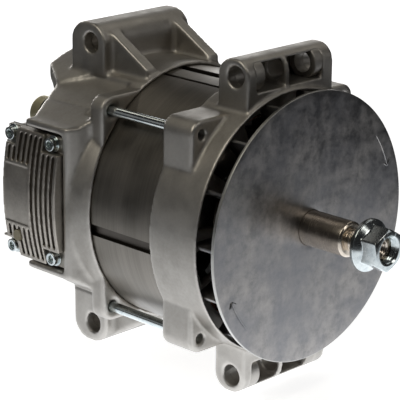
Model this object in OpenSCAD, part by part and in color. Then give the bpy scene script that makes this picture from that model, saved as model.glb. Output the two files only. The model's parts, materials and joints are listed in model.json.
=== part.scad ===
// Pad-mounted truck alternator with an external front fan and a finned side regulator.
// The shaft axis is Y. The origin is on the axis at the front face of the fan, where a
// pulley seats, and the pulley end points to -Y. +Z is up, seen from the front +X is right.

/* [Pad mount] */
// Height between the upper and the lower lug bores
lug_spacing = 190.5; // [188:0.5:200]
// Distance between the front and the rear lug bores
lug_pitch = 127; // [124:0.5:130]
// Length of each lug along its bore
lug_width = 76.2; // [66:0.1:84]
// Diameter of the lug bores, for half-inch bolts
lug_bore_d = 13.2; // [10:0.1:14]
// Radius of the metal round each front lug bore
lug_front_round = 10.9; // [10.4:0.1:12.5]
// Radius of the metal round each rear lug bore
lug_rear_round = 12.9; // [12:0.1:13.5]
// Place of the front lug bores behind the fan face
lug_front_y = 29.5; // [28:0.5:31]
// Extra length of the front lugs behind their bores
lug_front_stretch = 3.2; // [1:0.1:4]
// Extra length of the rear lugs behind their bores
lug_rear_stretch = 5.6; // [2:0.1:7]
// Sideways step from the face of a lug to the saddle under it
saddle_step = 1.2; // [0.5:0.1:2]
// Thickness of the left wall of a hollow lug
lug_left_wall = 8; // [6:0.5:10]
// Sideways place of the middle web of a hollow lug
lug_web_x = -1.5; // [-4:0.1:4]
// Thickness of the middle web of a hollow lug
lug_web = 2.8; // [2:0.1:5]
// Thickness of the right wall of a hollow lug
lug_right_wall = 10; // [6:0.5:12]
// Thickness of the back and the crown of a hollow lug
lug_shell = 3.6; // [3:0.1:4.5]

/* [Shaft and nut] */
// Diameter of the pulley seat on the shaft
shaft_d = 22.2; // [18:0.1:24]
// Length of the pulley seat in front of the fan
shaft_seat_len = 32.8; // [28:0.1:40]
// Diameter of the nut thread
thread_d = 15.9; // [12:0.1:16]
// Length of the thread in front of the shoulder
thread_len = 23.5; // [20:0.5:26]
// Distance from the shoulder to the flange of the nut as it is shipped
nut_standoff = 11.6; // [1:0.1:12]
// Height of the flange nut
nut_h = 17.2; // [14:0.1:20]
// Width of the nut across its flats
nut_flats = 24; // [21:0.1:26]
// Diameter of the flange of the nut
nut_flange_d = 32.5; // [29:0.1:36]
// Thickness of the flange of the nut at its rim
nut_flange_t = 3; // [2:0.1:4]

/* [Fan] */
// Outer diameter of the fan disc
fan_d = 170.6; // [166:0.1:172]
// Thickness of the fan disc
fan_disc_t = 2.2; // [1.8:0.1:3]
// Number of fan blades
fan_blades = 15; // [9:1:18]
// Thickness of a fan blade
fan_blade_t = 2.4; // [1.6:0.1:3]
// Depth of the blades behind the disc
fan_blade_h = 21; // [16:0.5:23]
// Radius where the blades start
fan_blade_in_r = 42; // [34:1:50]
// Radius of the fan hub
fan_hub_r = 19; // [16:0.5:22]
// Thickness of the fan hub
fan_hub_t = 7; // [5:0.5:9]

/* [Front housing] */
// Distance from the fan face to the front edge of the shroud
shroud_y = 16; // [13:0.5:17]
// Thickness of the shroud round the fan blades
shroud_t = 1.6; // [1.4:0.1:2]
// Thickness of both housings round the seats of the stator
rim_wall = 2; // [1.8:0.1:3]
// Place of the rear edge of the front housing
front_end_y = 56; // [54.5:0.5:57.5]
// Place of the front face of the bolt ears
ear_y = 31; // [29.5:0.5:32.5]
// Place of the front face of the end wall
front_wall_y = 29; // [27.5:0.5:30]
// Thickness of the end walls of both housings
end_wall_t = 6; // [5:0.5:7]
// Radius of the metal round each through bolt
ear_r = 9; // [8:0.1:10]
// Sideways place of the through bolts
bolt_x = 63.5; // [62:0.1:65]
// Height of the through bolts
bolt_z = 64.3; // [63:0.1:66]
// Number of air windows in the front end wall
front_windows = 12; // [8:1:14]

/* [Rear housing] */
// Place of the front edge of the rear housing
rear_start_y = 108.5; // [107:0.5:110]
// Length of the bolt ears of the rear housing
rear_ear_len = 11.5; // [10:0.5:14]
// Step from the rim of the rear housing in to its round body
body_step = 2; // [1.5:0.1:3]
// Wall of the rear housing
body_wall = 5; // [4:0.1:6]
// Place of the rear face of the main body
body_end_y = 176.5; // [175:0.5:178]
// Place of the rear edge of the roof over the terminals
rear_end_y = 196.5; // [194:0.5:199]
// Number of air windows in the rear end wall
rear_windows = 10; // [6:1:12]
// Distance from the shaft axis to the flat left side
side_x = 88; // [86.5:0.5:88]
// Place where the flat left side starts
side_y = 125.5; // [124:0.5:127]
// Length of the flat left side
side_len = 38; // [34:0.5:42]
// Top of the flat left side
side_top_z = 53.5; // [52.5:0.5:56]
// Bottom of the flat left side
side_bottom_z = -44.5; // [-48:0.5:-43.5]

/* [Regulator] */
// Place of the front edge of the regulator
reg_y = 129.7; // [129.2:0.1:131]
// Length of the regulator along the shaft
reg_len = 52.8; // [50:0.1:56]
// Height of the regulator
reg_h = 85.5; // [84:0.5:87]
// Height of the middle of the regulator above the shaft axis
reg_mid_z = 3.7; // [3:0.1:4.2]
// Distance from the shaft axis to the seat of the regulator
reg_seat_x = 80.5; // [80.5:0.1:82]
// Thickness of the gasket under the regulator
gasket_t = 0.8; // [0.5:0.1:1.5]
// Thickness of the regulator at its upper and lower edges
reg_edge_t = 6.8; // [6:0.1:8]
// Height of the bulge in the middle of the regulator
reg_bulge = 6.2; // [5:0.1:8]
// Number of cooling grooves
reg_grooves = 10; // [8:1:11]
// Width of a cooling groove
reg_groove_w = 2.6; // [1.8:0.1:2.9]
// Depth of a cooling groove
reg_groove_depth = 4.6; // [3:0.1:5]
// Distance between the regulator screws along the shaft
reg_screw_pitch_y = 38; // [36:0.5:39]
// Height between the upper and the lower regulator screws
reg_screw_pitch_z = 75; // [72:0.5:77]
// Gap between the regulator and the frame round it
frame_gap = 1.5; // [1:0.1:2.2]

/* [Stator] */
// Outer radius of the stator core
stator_r = 82; // [81.5:0.1:82.5]
// Radial thickness of the stator core
stator_wall = 23; // [20:0.1:23.2]
// Number of stator slots
stator_slots = 36; // [24:6:36]
// Depth of the seat of the stator in each housing
stator_seat = 4; // [3:0.1:5]
// Width of the long grooves on the outside of the stator
stator_groove_w = 7.4; // [6:0.1:8]
// Depth of the long grooves
stator_groove_depth = 2.6; // [1.2:0.1:3]

/* [Rotor] */
// Air gap between the claw poles and the stator
air_gap = 0.5; // [0.4:0.1:1]
// Length of the rotor poles
pole_len = 58; // [52:0.5:60]
// Number of claws on each pole
claws = 6; // [4:1:7]

/* [Bearings] */
// Bore of the front bearing
front_bore_d = 25; // [24.5:0.1:26]
// Outer diameter of the front bearing
front_outer_d = 62; // [60:0.1:64]
// Width of the front bearing
front_bearing_w = 17; // [15:0.1:17.5]
// Diameter of a front bearing ball
front_ball_d = 11.5; // [10:0.1:12]
// Number of balls in the front bearing
front_balls = 7; // [6:1:8]
// Bore of the rear bearing
rear_bore_d = 17; // [16:0.1:18]
// Outer diameter of the rear bearing
rear_outer_d = 40; // [39:0.1:42]
// Width of the rear bearing
rear_bearing_w = 12; // [11:0.1:13]
// Diameter of a rear bearing ball
rear_ball_d = 6.75; // [6:0.05:7]
// Number of balls in the rear bearing
rear_balls = 8; // [7:1:9]

/* [Clearances] */
// Radial gap between a fixed piece and its seat
seat_gap = 0.05; // [0.02:0.01:0.1]
// Radial gap between a bearing ball and its races
ball_gap = 0.03; // [0.02:0.01:0.06]
// Gap round a through bolt in its ear
bolt_gap = 0.3; // [0.2:0.05:0.6]
// Gap round the brush holder, the brushes and the windings
slide_gap = 0.3; // [0.2:0.05:0.4]

/* [Hidden] */
$fn = 96;

lug_z = lug_spacing / 2;
lug_rear_y = lug_front_y + lug_pitch;
lug_half = lug_width / 2;
lug_bore_r = lug_bore_d / 2;

shaft_r = shaft_d / 2;
thread_r = thread_d / 2;
shoulder_y = -shaft_seat_len;
nut_y = shoulder_y - nut_standoff;

rim_r = stator_r + rim_wall;
shroud_in_r = rim_r - shroud_t;
fan_r = fan_d / 2;
fan_blade_r = shroud_in_r - 0.8;

stator_bore_r = stator_r - stator_wall;
pole_r = stator_bore_r - air_gap;
stator_y0 = front_end_y - stator_seat;
stator_y1 = rear_start_y + stator_seat;
stator_mid_y = (stator_y0 + stator_y1) / 2;
cavity_r = stator_r - 3.5;
winding_out_r = cavity_r - 3.5;
winding_in_r = stator_bore_r + 3;
winding_len = 12.5;
slot_w = PI * winding_in_r / stator_slots;
slot_r = winding_out_r - 3;
tie_groove_w = 2.2;
tie_groove_depth = 1.4;

pole_y0 = stator_mid_y - pole_len / 2;
pole_y1 = stator_mid_y + pole_len / 2;
pole_plate = 13;
core_r = 27;
core_bore_r = 14;
claw_t = 9.5;
claw_root_w = 24;
claw_tip_w = 11;
coil_y0 = pole_y0 + pole_plate;
coil_y1 = pole_y1 - pole_plate;
coil_out_r = pole_r - claw_t - 2;
bobbin_t = 1.2;
collar_r = 16;
rear_journal_r = 9.5;
rear_collar_r = 10.6;

front_bearing_y = front_wall_y - 1.5;
front_bearing_end = front_bearing_y + front_bearing_w;
front_pitch_r = (front_bore_d + front_outer_d) / 4;
front_hub_r = front_outer_d / 2 + 6.5;
rear_hub_r = rear_outer_d / 2 + 6.5;
rear_bearing_y = body_end_y - 2;
rear_bearing_end = rear_bearing_y + rear_bearing_w;
rear_pitch_r = (rear_bore_d + rear_outer_d) / 4;
rear_wall_y = body_end_y - end_wall_t;
boss_y = rear_wall_y + 1;
boss_end_y = rear_bearing_end + 8;
rib_w = 5;
retainer_angles = [45, 135, 225, 315];
retainer_screw_r = 1.6;
retainer_t = 2.4;
cap_t = 2;
first_ball = 12;

body_r = rim_r - body_step;
body_in_r = body_r - body_wall;
rear_ear_end = rear_start_y + rear_ear_len;
saddle_r = rim_r + 0.4;
saddle_half = lug_half - saddle_step;
roof_t = 9;
roof_x = 50;
belt_x = 63;
belt_top_z = 61;
belt_bottom_z = -54;
side_high_z = 72.6;
lug_foot_z = 75;
lug_floor_z = 86;

reg_end_y = reg_y + reg_len;
reg_base_x = reg_seat_x + gasket_t;
reg_z0 = reg_mid_z - reg_h / 2;
reg_z1 = reg_mid_z + reg_h / 2;
reg_arc_r = (reg_h * reg_h / 4 + reg_bulge * reg_bulge) / (2 * reg_bulge);
reg_arc_x = reg_base_x + reg_edge_t + reg_bulge - reg_arc_r;
reg_face_x = reg_base_x + reg_edge_t;
reg_screw_y = reg_y + 9;
reg_screw_z = reg_mid_z + 0.3;
reg_pad_t = 3.8;
reg_screw_r = 2.5;
reg_screw_in = 7.5;
groove_pitch = (reg_len - 6.4) / reg_grooves;
reg_rim = 2.2;
reg_pad_z0 = reg_screw_z - reg_screw_pitch_z / 2 + 6;
reg_pad_z1 = reg_screw_z + reg_screw_pitch_z / 2 - 5.5;
reg_rail_w = 3.4;
reg_rail_z0 = -26;
reg_label_z0 = -15.5;
reg_label_z1 = 23.5;
plug_r = 3.6;
plug_x = reg_face_x + 1;
plug_y = reg_y + 1.6 + (reg_grooves - 2.1) * groove_pitch;
plug_z = -24;

bolt_r = 3.175;
bolt_head_flats = 11;
bolt_head_h = 4.4;
washer_t = 1.4;
head_y = rear_ear_end - bolt_head_h - washer_t - 0.2;
head_room_r = bolt_head_flats / 2 + 1.4;

ring_y = [rear_bearing_y - 26, rear_bearing_y - 13];
ring_w = 7;
ring_r = 16;
brush_w = 5;
brush_h = 9;
brush_len = 19;
brush_tip_x = ring_r + 0.1;
holder_y0 = ring_y[0] - 6;
holder_y1 = ring_y[1] + 6;
holder_h = 24;
holder_tip_x = 21;
holder_floor = 6;
spring_wire_r = 0.45;
spring_r = 1.8;
spring_x0 = -reg_seat_x + holder_floor + spring_wire_r;
spring_x1 = -brush_tip_x - brush_len - spring_wire_r;
spring_turns = 7;
spring_sides = 6;
spring_steps = 10;

sink_t = 4;
negative_sink_y = rear_wall_y - 9;
positive_sink_y = negative_sink_y - 16;
sink_in_r = 34;
sink_out_r = 72;
sink_screw_r = 65;
sink_screw_angles = [-58, 0, 58];
diode_r = 6.35;
diode_h = 9;
diode_angles = [-38, -14, 24];
diode_seat_r = 53;
diode_row_step = 6;
diode_row_turn = 12;
sink_half = 74;
sink_screw_hole_r = 2;
standoff_r = 5;

post_x = -50;
post_z = 46;
post_r = 10.5;
post_y = body_end_y + 15;
post_core_r = 3.9;
post_hole_r = 3.3;
post_hole_len = 7;
post_foot_r = 8;
post_tube_r = 5;
insulator_h = 5;
ground_x = 52;
ground_z = -46;
ground_r = 4;
tap_x = -30;
tap_z = -64;
tap_r = 2.4;
tap_seat_r = 5;

// Frames of reference for the shapes below.
// turned: a profile of [radius, y] points, turned about the shaft axis.
module turned() {
    rotate([-90, 0, 0]) rotate_extrude() children();
}

// slab: a flat outline of (x, z), seen from the front, extruded from y0 to y1.
module slab(y0, y1) {
    translate([0, y1, 0]) rotate([90, 0, 0]) linear_extrude(y1 - y0) children();
}

// across: a flat outline of (y, z), extruded along X from x0 to x1.
module across(x0, x1) {
    translate([x0, 0, 0]) rotate([90, 0, 90]) linear_extrude(x1 - x0) children();
}

// rod: a round bar parallel to the shaft.
module rod(r, y0, y1, x = 0, z = 0) {
    translate([x, y0, z]) rotate([-90, 0, 0]) cylinder(r = r, h = y1 - y0);
}

// side_rod: a round bar along X.
module side_rod(r, x0, x1, y, z) {
    translate([x0, y, z]) rotate([0, 90, 0]) cylinder(r = r, h = x1 - x0);
}

// hex_bar: a hexagon bar parallel to the shaft.
module hex_bar(flats, y0, y1, x = 0, z = 0) {
    translate([x, y0, z]) rotate([-90, 0, 0]) cylinder(d = flats / cos(30), h = y1 - y0, $fn = 6);
}

// block: a box from its low corner to its high corner.
module block(low, high) {
    translate(low) cube(high - low);
}

// around: copies turned about the shaft, at the angles seen from the front.
module around(angles) {
    for (a = angles) rotate([0, -a, 0]) children();
}

// sector: a flat pie slice, centred on +X and wide half angles to each side.
module sector(r, half) {
    polygon([[0, 0], [r * cos(half), -r * sin(half)], [r, 0], [r * cos(half), r * sin(half)]]);
}

// Outline of a bolt ear plate: a square with a round corner on every through bolt.
module ear_square() {
    for (sx = [-1, 1], sz = [-1, 1]) translate([sx * bolt_x, sz * bolt_z]) circle(ear_r);
    square([2 * (bolt_x + ear_r), 2 * bolt_z], center = true);
    square([2 * bolt_x, 2 * (bolt_z + ear_r)], center = true);
}

// Outline of a lug seen from the side, round about the bore and longer to the rear.
module lug_outline(y, r, stretch) {
    for (dy = [0, stretch]) translate([y + dy, lug_z]) circle(r);
    translate([y, lug_z]) square([stretch, r]);
    translate([y - r, 0]) square([2 * r + stretch, lug_z]);
}

module lug_bores(y) {
    for (sz = [-1, 1]) side_rod(lug_bore_r, -lug_half - 1, lug_half + 1, y, sz * lug_z);
}

module each_lug() {
    children();
    mirror([0, 0, 1]) children();
}

module bolt_places() {
    for (sx = [-1, 1], sz = [-1, 1]) translate([sx * bolt_x, 0, sz * bolt_z]) children();
}

// Ring of air windows through an end wall, each the shape of a curved trapezoid.
module windows(count, r0, r1, y0, y1, fill = 0.62, skip = []) {
    for (i = [0:count - 1])
        if (len(search(i, skip)) == 0)
            around([(i + 0.5) * 360 / count]) slab(y0, y1) intersection() {
                difference() {
                    circle(r1);
                    circle(r0);
                }
                sector(2 * r1, fill * 180 / count);
            }
}

// Drive end housing: shroud round the fan, end wall, bearing hub and two hollow lugs.
module front_lug() {
    pockets = [[-lug_half + lug_left_wall, lug_web_x - lug_web],
        [lug_web_x, lug_half - lug_right_wall]];
    difference() {
        intersection() {
            across(-lug_half, lug_half) lug_outline(lug_front_y, lug_front_round, lug_front_stretch);
            block([-lug_half, 0, cavity_r - 20], [lug_half, front_end_y, 2 * lug_z]);
        }
        for (x = pockets) difference() {
            union() {
                across(x[0], x[1])
                    lug_outline(lug_front_y, lug_front_round - lug_shell, lug_front_stretch);
                block([x[0], 0, cavity_r], [x[1], lug_front_y, lug_z + lug_front_round - lug_shell]);
            }
            block([-lug_half, 0, 0], [lug_half, front_end_y, lug_floor_z]);
        }
    }
}

module drive_end_housing() {
    color("#8f8b84") difference() {
        union() {
            turned() polygon([[0, shroud_y], [rim_r - 0.3, shroud_y], [rim_r, shroud_y + 0.5],
                [rim_r, front_end_y], [0, front_end_y]]);
            slab(ear_y, front_end_y) ear_square();
            each_lug() front_lug();
            each_lug() intersection() {
                rod(saddle_r, ear_y, front_end_y);
                block([-saddle_half, 0, 0], [saddle_half, front_end_y, saddle_r]);
            }
        }
        // room for the fan in front of the end wall
        turned() polygon([[front_hub_r, shroud_y - 1], [shroud_in_r, shroud_y - 1],
            [shroud_in_r, front_wall_y], [front_hub_r, front_wall_y]]);
        turned() square([front_hub_r + 1, front_wall_y - 3]);
        // room for the windings behind the end wall
        turned() polygon([[front_hub_r, front_wall_y + end_wall_t],
            [cavity_r - 4, front_wall_y + end_wall_t], [cavity_r, front_wall_y + end_wall_t + 4],
            [cavity_r, front_end_y + 1], [front_hub_r, front_end_y + 1]]);
        rod(front_hub_r + 1, front_bearing_end, front_end_y + 1);
        rod(stator_r + seat_gap, stator_y0, front_end_y + 1);
        // bearing seat with a lip in front of it
        rod(front_outer_d / 2 + seat_gap, front_bearing_y, front_end_y);
        rod(front_outer_d / 2 - 4, 0, front_end_y);
        windows(front_windows, front_hub_r + 4, cavity_r - 8, front_wall_y - 1,
            front_wall_y + end_wall_t + 1);
        lug_bores(lug_front_y);
        bolt_places() rod(bolt_r + seat_gap, ear_y - 0.5, front_end_y + 1);
        // threaded holes of the bearing retainer
        around(retainer_angles)
            rod(retainer_screw_r, front_bearing_end - 9, front_end_y, front_hub_r - 3.6);
    }
}

// Rear housing: a cup with a flat left side for the regulator, saddles and two lugs.
module rear_lug() {
    lug_y1 = lug_rear_y + lug_rear_round + lug_rear_stretch;
    difference() {
        intersection() {
            across(-lug_half, lug_half) lug_outline(lug_rear_y, lug_rear_round, lug_rear_stretch);
            union() {
                block([-lug_half, 0, lug_foot_z], [lug_half, rear_end_y, 2 * lug_z]);
                block([-saddle_half, 0, cavity_r - 8], [saddle_half, rear_end_y, lug_z]);
            }
        }
        for (x = [[-lug_half + lug_left_wall, lug_web_x - lug_web],
                [lug_web_x, lug_half - lug_right_wall]])
            block([x[0], lug_rear_y, rim_r + 2],
                [x[1], lug_y1 + 1, lug_z + lug_rear_round - lug_shell]);
    }
}

// Two gussets in front of a rear lug, as sloping ribs down to the rim.
module rear_gussets() {
    for (x = [[-lug_half + 6.5, -lug_half + 15.5], [lug_half - 14, lug_half - 5]])
        across(x[0], x[1]) polygon([[rear_start_y + 3, cavity_r - 4],
            [rear_start_y + 3, rim_r + 0.1], [lug_rear_y - lug_rear_round + 3, lug_z + 9],
            [lug_rear_y, lug_z], [lug_rear_y, cavity_r - 4]]);
}

// Flat left side, with a round belt in front of it and cut back at the rear.
module left_side() {
    outline = [[-side_x, side_bottom_z], [-side_x, side_top_z], [-side_x + 8, side_top_z + 0.5],
        [-saddle_half, side_high_z], [-saddle_half, -side_high_z]];
    intersection() {
        slab(rear_start_y + 2, body_end_y) polygon(outline);
        linear_extrude(4 * rim_r, center = true) polygon([[0, rear_start_y],
            [-bolt_x - ear_r, rear_start_y], [-bolt_x - ear_r, side_y - 7],
            [-side_x + 7, side_y - 4], [-side_x + 1.2, side_y - 1.2], [-side_x, side_y + 1],
            [-side_x, side_y + side_len], [-side_x + 8, side_y + side_len],
            [-side_x + 26, side_y + side_len + 8], [-roof_x, body_end_y], [0, body_end_y]]);
    }
    intersection() {
        turned() polygon([[0, rear_start_y], [rim_r - 0.4, rear_start_y],
            [rim_r + 1.4, rear_start_y + 5], [side_x - 1.4, rear_start_y + 11],
            [side_x - 0.4, side_y + 1.5], [0, side_y + 1.5]]);
        block([-side_x, 0, belt_bottom_z], [-belt_x, rear_end_y, belt_top_z]);
    }
}

// Roof over the rear terminals, as a band of the round body with slanted ends.
module terminal_roof() {
    intersection() {
        difference() {
            rod(saddle_r, body_end_y - 24, rear_end_y);
            rod(saddle_r - roof_t, body_end_y - 1, rear_end_y + 1);
        }
        linear_extrude(2 * saddle_r) polygon([[-saddle_half, body_end_y - 24],
            [-roof_x, body_end_y], [-lug_half, rear_end_y], [lug_half, rear_end_y],
            [roof_x, body_end_y], [saddle_half, body_end_y - 24]]);
    }
}

// Rear bearing boss with its ribs on the rear end wall.
module rear_boss() {
    rod(rear_hub_r, boss_y, boss_end_y);
    around([30, 90, 150, 210, 270, 330]) linear_extrude(rib_w, center = true)
        polygon([[rear_hub_r - 2, boss_y + 1], [rear_hub_r - 2, boss_end_y - 3],
            [body_in_r, body_end_y + 1], [body_in_r, boss_y + 1]]);
}

module rear_housing() {
    color("#8f8b84") difference() {
        union() {
            slab(rear_start_y, rear_ear_end) {
                circle(rim_r - 0.4);
                ear_square();
            }
            rod(body_r, rear_start_y, body_end_y);
            each_lug() intersection() {
                rod(saddle_r, rear_start_y, body_end_y);
                block([-saddle_half, 0, 0], [saddle_half, rear_end_y, saddle_r]);
            }
            each_lug() rear_lug();
            rear_gussets();
            mirror([0, 0, 1]) rear_gussets();
            left_side();
            // backing of the regulator behind the flat side
            block([-reg_seat_x, side_y, reg_z0 + 1], [-body_in_r + 20, reg_end_y - 2, reg_z1 - 1]);
            terminal_roof();
        }
        // bed of the regulator
        block([-side_x - 1, reg_y - 0.8, reg_z0 - frame_gap],
            [-reg_seat_x, rear_end_y, reg_z1 + frame_gap + 0.7]);
        // inside of the cup
        rod(stator_r + seat_gap, rear_start_y - 1, stator_y1);
        rod(cavity_r, rear_start_y, rear_ear_end);
        rod(body_in_r, rear_start_y, rear_wall_y);
        rod(rear_hub_r - 1, rear_wall_y - 1, body_end_y + 1);
        windows(rear_windows, rear_hub_r + 4, body_in_r - 5, rear_wall_y - 1, body_end_y + 1,
            skip = [3, 6, 8]);
        lug_bores(lug_rear_y);
        bolt_places() {
            rod(bolt_r + bolt_gap, 0, rear_end_y);
            rod(bolt_r + 2.2, rear_start_y - 1, rear_start_y + 1.5);
            rod(head_room_r, head_y, rear_ear_end + 9);
        }
        // room of the output terminal on the rear face
        rod(post_r + 2.5, body_end_y, rear_end_y + 1, post_x, post_z);
        // opening of the brush holder
        block([-reg_face_x, holder_y0, -holder_h / 2], [-body_in_r + 12, holder_y1, holder_h / 2]);
        // threaded holes under the regulator, the rectifier and the terminals
        regulator_screw_places() side_rod(reg_screw_r + seat_gap, -reg_seat_x - 1,
            -reg_seat_x + reg_screw_in + 1, 0, 0);
        around(sink_screw_angles)
            rod(sink_screw_hole_r + seat_gap, rear_wall_y - 1, body_end_y - 2, sink_screw_r);
        rod(post_tube_r, rear_wall_y - 20, rear_end_y, post_x, post_z);
        rod(ground_r + seat_gap, rear_wall_y - 1, body_end_y + 1, ground_x, ground_z);
        rod(tap_seat_r + seat_gap, rear_wall_y - 1, body_end_y + 1, tap_x, tap_z);
    }
    color("#8f8b84") difference() {
        rear_boss();
        // bearing seat, grease room and the seat of the cap
        rod(rear_outer_d / 2 + seat_gap, rear_bearing_y, rear_end_y + 1);
        rod(rear_outer_d / 2 - 4, rear_wall_y - 1, rear_end_y);
    }
}

module regulator_screw_places() {
    for (dy = [0, reg_screw_pitch_y], sz = [-0.5, 0.5])
        translate([0, reg_screw_y + dy, reg_screw_z + sz * reg_screw_pitch_z]) children();
}

// Stator core with its slots and the long grooves on its outside.
module stator_core() {
    color("#4a4642") difference() {
        rod(stator_r, stator_y0, stator_y1);
        rod(stator_bore_r, stator_y0 - 1, stator_y1 + 1);
        around([for (i = [0:stator_slots - 1]) i * 360 / stator_slots])
            block([stator_bore_r - 2, stator_y0 - 1, -slot_w / 2],
                [slot_r, stator_y1 + 1, slot_w / 2]);
        around([92, 186, 272, 6]) block(
            [stator_r - stator_groove_depth, stator_y0 - 1, -stator_groove_w / 2],
            [stator_r + 2, stator_y1 + 1, stator_groove_w / 2]);
        around([102.7, 282.7]) block(
            [stator_r - tie_groove_depth, stator_y0 - 1, -tie_groove_w / 2],
            [stator_r + 2, stator_y1 + 1, tie_groove_w / 2]);
    }
}

// Stator winding: a bar in each slot and a rounded end turn at each side.
module end_turn(y0, y1) {
    r = 3;
    turned() hull() {
        for (x = [winding_in_r + r, winding_out_r - r], y = [y0 + r, y1 - r])
            translate([x, y]) circle(r, $fn = 24);
    }
}

module stator_winding() {
    color("#8a4b23") {
        end_turn(stator_y0 - winding_len, stator_y0);
        end_turn(stator_y1, stator_y1 + winding_len);
        around([for (i = [0:stator_slots - 1]) i * 360 / stator_slots])
            block([winding_in_r, stator_y0 - 4, -slot_w / 2 + slide_gap],
                [slot_r - slide_gap, stator_y1 + 4, slot_w / 2 - slide_gap]);
    }
}

// Four long bolts that clamp the housings on the stator.
module through_bolts() {
    color("#c9ccce") bolt_places() {
        rod(bolt_r, ear_y + 6, head_y + washer_t);
        hex_bar(bolt_head_flats, head_y + washer_t, head_y + washer_t + bolt_head_h);
    }
}

module through_bolt_washers() {
    color("#b9bcbe") bolt_places() difference() {
        rod(bolt_head_flats / 2 + 1, head_y, head_y + washer_t);
        rod(bolt_r + seat_gap, head_y - 1, head_y + washer_t + 1);
    }
}

// Cast fan: a flat disc in front, straight blades behind it and a thick hub.
module fan() {
    color("#8b8c90") difference() {
        union() {
            rod(fan_r, 0, fan_disc_t);
            rod(fan_hub_r, 0, fan_hub_t);
            around([for (i = [0:fan_blades - 1]) 106.5 + i * 360 / fan_blades])
                translate([0, 0, -fan_blade_t / 2]) linear_extrude(fan_blade_t) polygon([
                    [fan_blade_in_r, fan_disc_t - 0.5], [fan_blade_in_r, fan_disc_t + 5],
                    [fan_blade_in_r + 14, fan_disc_t + fan_blade_h],
                    [fan_blade_r, fan_disc_t + fan_blade_h], [fan_blade_r, fan_disc_t - 0.5]]);
        }
        rod(shaft_r + seat_gap, -1, fan_hub_t + 1);
    }
}

// Spacer tube that clamps the fan against the front bearing.
module fan_spacer() {
    color("#a5a7a8") difference() {
        rod(front_bore_d / 2 + 3, fan_hub_t, front_bearing_y);
        rod(shaft_r + seat_gap, fan_hub_t - 1, front_bearing_y + 1);
    }
}

// Rotor shaft, turned from one bar.
module rotor_shaft() {
    color("#6f675e") turned() polygon([
        [0, shoulder_y - thread_len], [thread_r - 1.2, shoulder_y - thread_len],
        [thread_r, shoulder_y - thread_len + 1.2], [thread_r, shoulder_y],
        [shaft_r - 1.4, shoulder_y], [shaft_r, shoulder_y + 1.4],
        [shaft_r, front_bearing_y], [front_bore_d / 2 - seat_gap, front_bearing_y],
        [front_bore_d / 2 - seat_gap, front_bearing_end], [collar_r, front_bearing_end],
        [collar_r, pole_y0], [core_bore_r - seat_gap, pole_y0],
        [core_bore_r - seat_gap, pole_y1], [rear_collar_r, pole_y1],
        [rear_collar_r, holder_y0 - 4], [rear_journal_r, holder_y0 - 4],
        [rear_journal_r, rear_bearing_y - 3], [rear_collar_r, rear_bearing_y - 3],
        [rear_collar_r, rear_bearing_y], [rear_bore_d / 2 - seat_gap, rear_bearing_y],
        [rear_bore_d / 2 - seat_gap, rear_bearing_end + 1], [rear_bore_d / 2 - 1.2, rear_bearing_end + 2],
        [0, rear_bearing_end + 2]]);
}

// Flange nut, run part way on to the thread.
module pulley_nut() {
    nut_end = nut_y - nut_h;
    color("#c4c7c9") difference() {
        intersection() {
            union() {
                hex_bar(nut_flats, nut_end, nut_y);
                turned() polygon([[0, nut_y], [nut_flange_d / 2, nut_y],
                    [nut_flange_d / 2, nut_y - nut_flange_t],
                    [nut_flats / 2, nut_y - nut_flange_t - 2.6], [0, nut_y - nut_flange_t - 2.6]]);
            }
            turned() polygon([[0, nut_end], [nut_flats / 2 - 0.4, nut_end],
                [nut_flange_d / 2, nut_end + 3], [nut_flange_d / 2, nut_y], [0, nut_y]]);
        }
        rod(thread_r + seat_gap, nut_end - 1, nut_y + 1);
        turned() polygon([[0, nut_end - 1], [thread_r + 2, nut_end - 1], [thread_r - 0.1, nut_end + 1.1],
            [0, nut_end + 1.1]]);
    }
}

// One claw pole, with its hub half and its tapered claws pointing to +Y.
module claw_pole(first) {
    color("#5c5a58") difference() {
        union() {
            rod(pole_r - claw_t + 0.5, 0, pole_plate);
            rod(core_r, 0, pole_len / 2);
            intersection() {
                turned() polygon([[pole_r - claw_t, 0], [pole_r - 1.5, 0], [pole_r, 1.5],
                    [pole_r, pole_len - 3], [pole_r - claw_t + 4, pole_len - 3],
                    [pole_r - claw_t, pole_plate]]);
                around([for (i = [0:claws - 1]) first + i * 360 / claws])
                    rotate([0, 90, 0]) linear_extrude(pole_r + 1) polygon([
                        [-claw_root_w / 2, 0], [claw_root_w / 2, 0],
                        [claw_tip_w / 2, pole_len], [-claw_tip_w / 2, pole_len]]);
            }
        }
        rod(core_bore_r, -1, pole_len);
        around([for (i = [0:claws - 1]) first + (i + 0.5) * 360 / claws])
            rod(9, -1, pole_plate + 1, pole_r - claw_t - 1);
    }
}

module front_claw_pole() {
    translate([0, pole_y0, 0]) claw_pole(0);
}

module rear_claw_pole() {
    translate([0, pole_y1, 0]) mirror([0, 1, 0]) claw_pole(180 / claws);
}

// Field coil and the bobbin that holds it between the poles.
module field_coil_bobbin() {
    color("#2c2c2e") difference() {
        union() {
            rod(core_r + seat_gap + bobbin_t, coil_y0, coil_y1);
            rod(coil_out_r, coil_y0, coil_y0 + bobbin_t);
            rod(coil_out_r, coil_y1 - bobbin_t, coil_y1);
        }
        rod(core_r + seat_gap, coil_y0 - 1, coil_y1 + 1);
    }
}

module field_coil() {
    color("#9a5326") difference() {
        rod(coil_out_r - 0.8, coil_y0 + bobbin_t, coil_y1 - bobbin_t);
        rod(core_r + seat_gap + bobbin_t, coil_y0, coil_y1);
    }
}

// Slip rings on their moulded hub.
module slip_ring_hub() {
    color("#2a2a2a") difference() {
        rod(ring_r - 1.5, holder_y0 - 4, rear_bearing_y - 4);
        rod(rear_journal_r + seat_gap, holder_y0 - 5, rear_bearing_y);
    }
}

module slip_rings() {
    color("#b4703a") for (y = ring_y) difference() {
        rod(ring_r, y - ring_w / 2, y + ring_w / 2);
        rod(ring_r - 1.5, y - ring_w, y + ring_w);
    }
}

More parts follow.
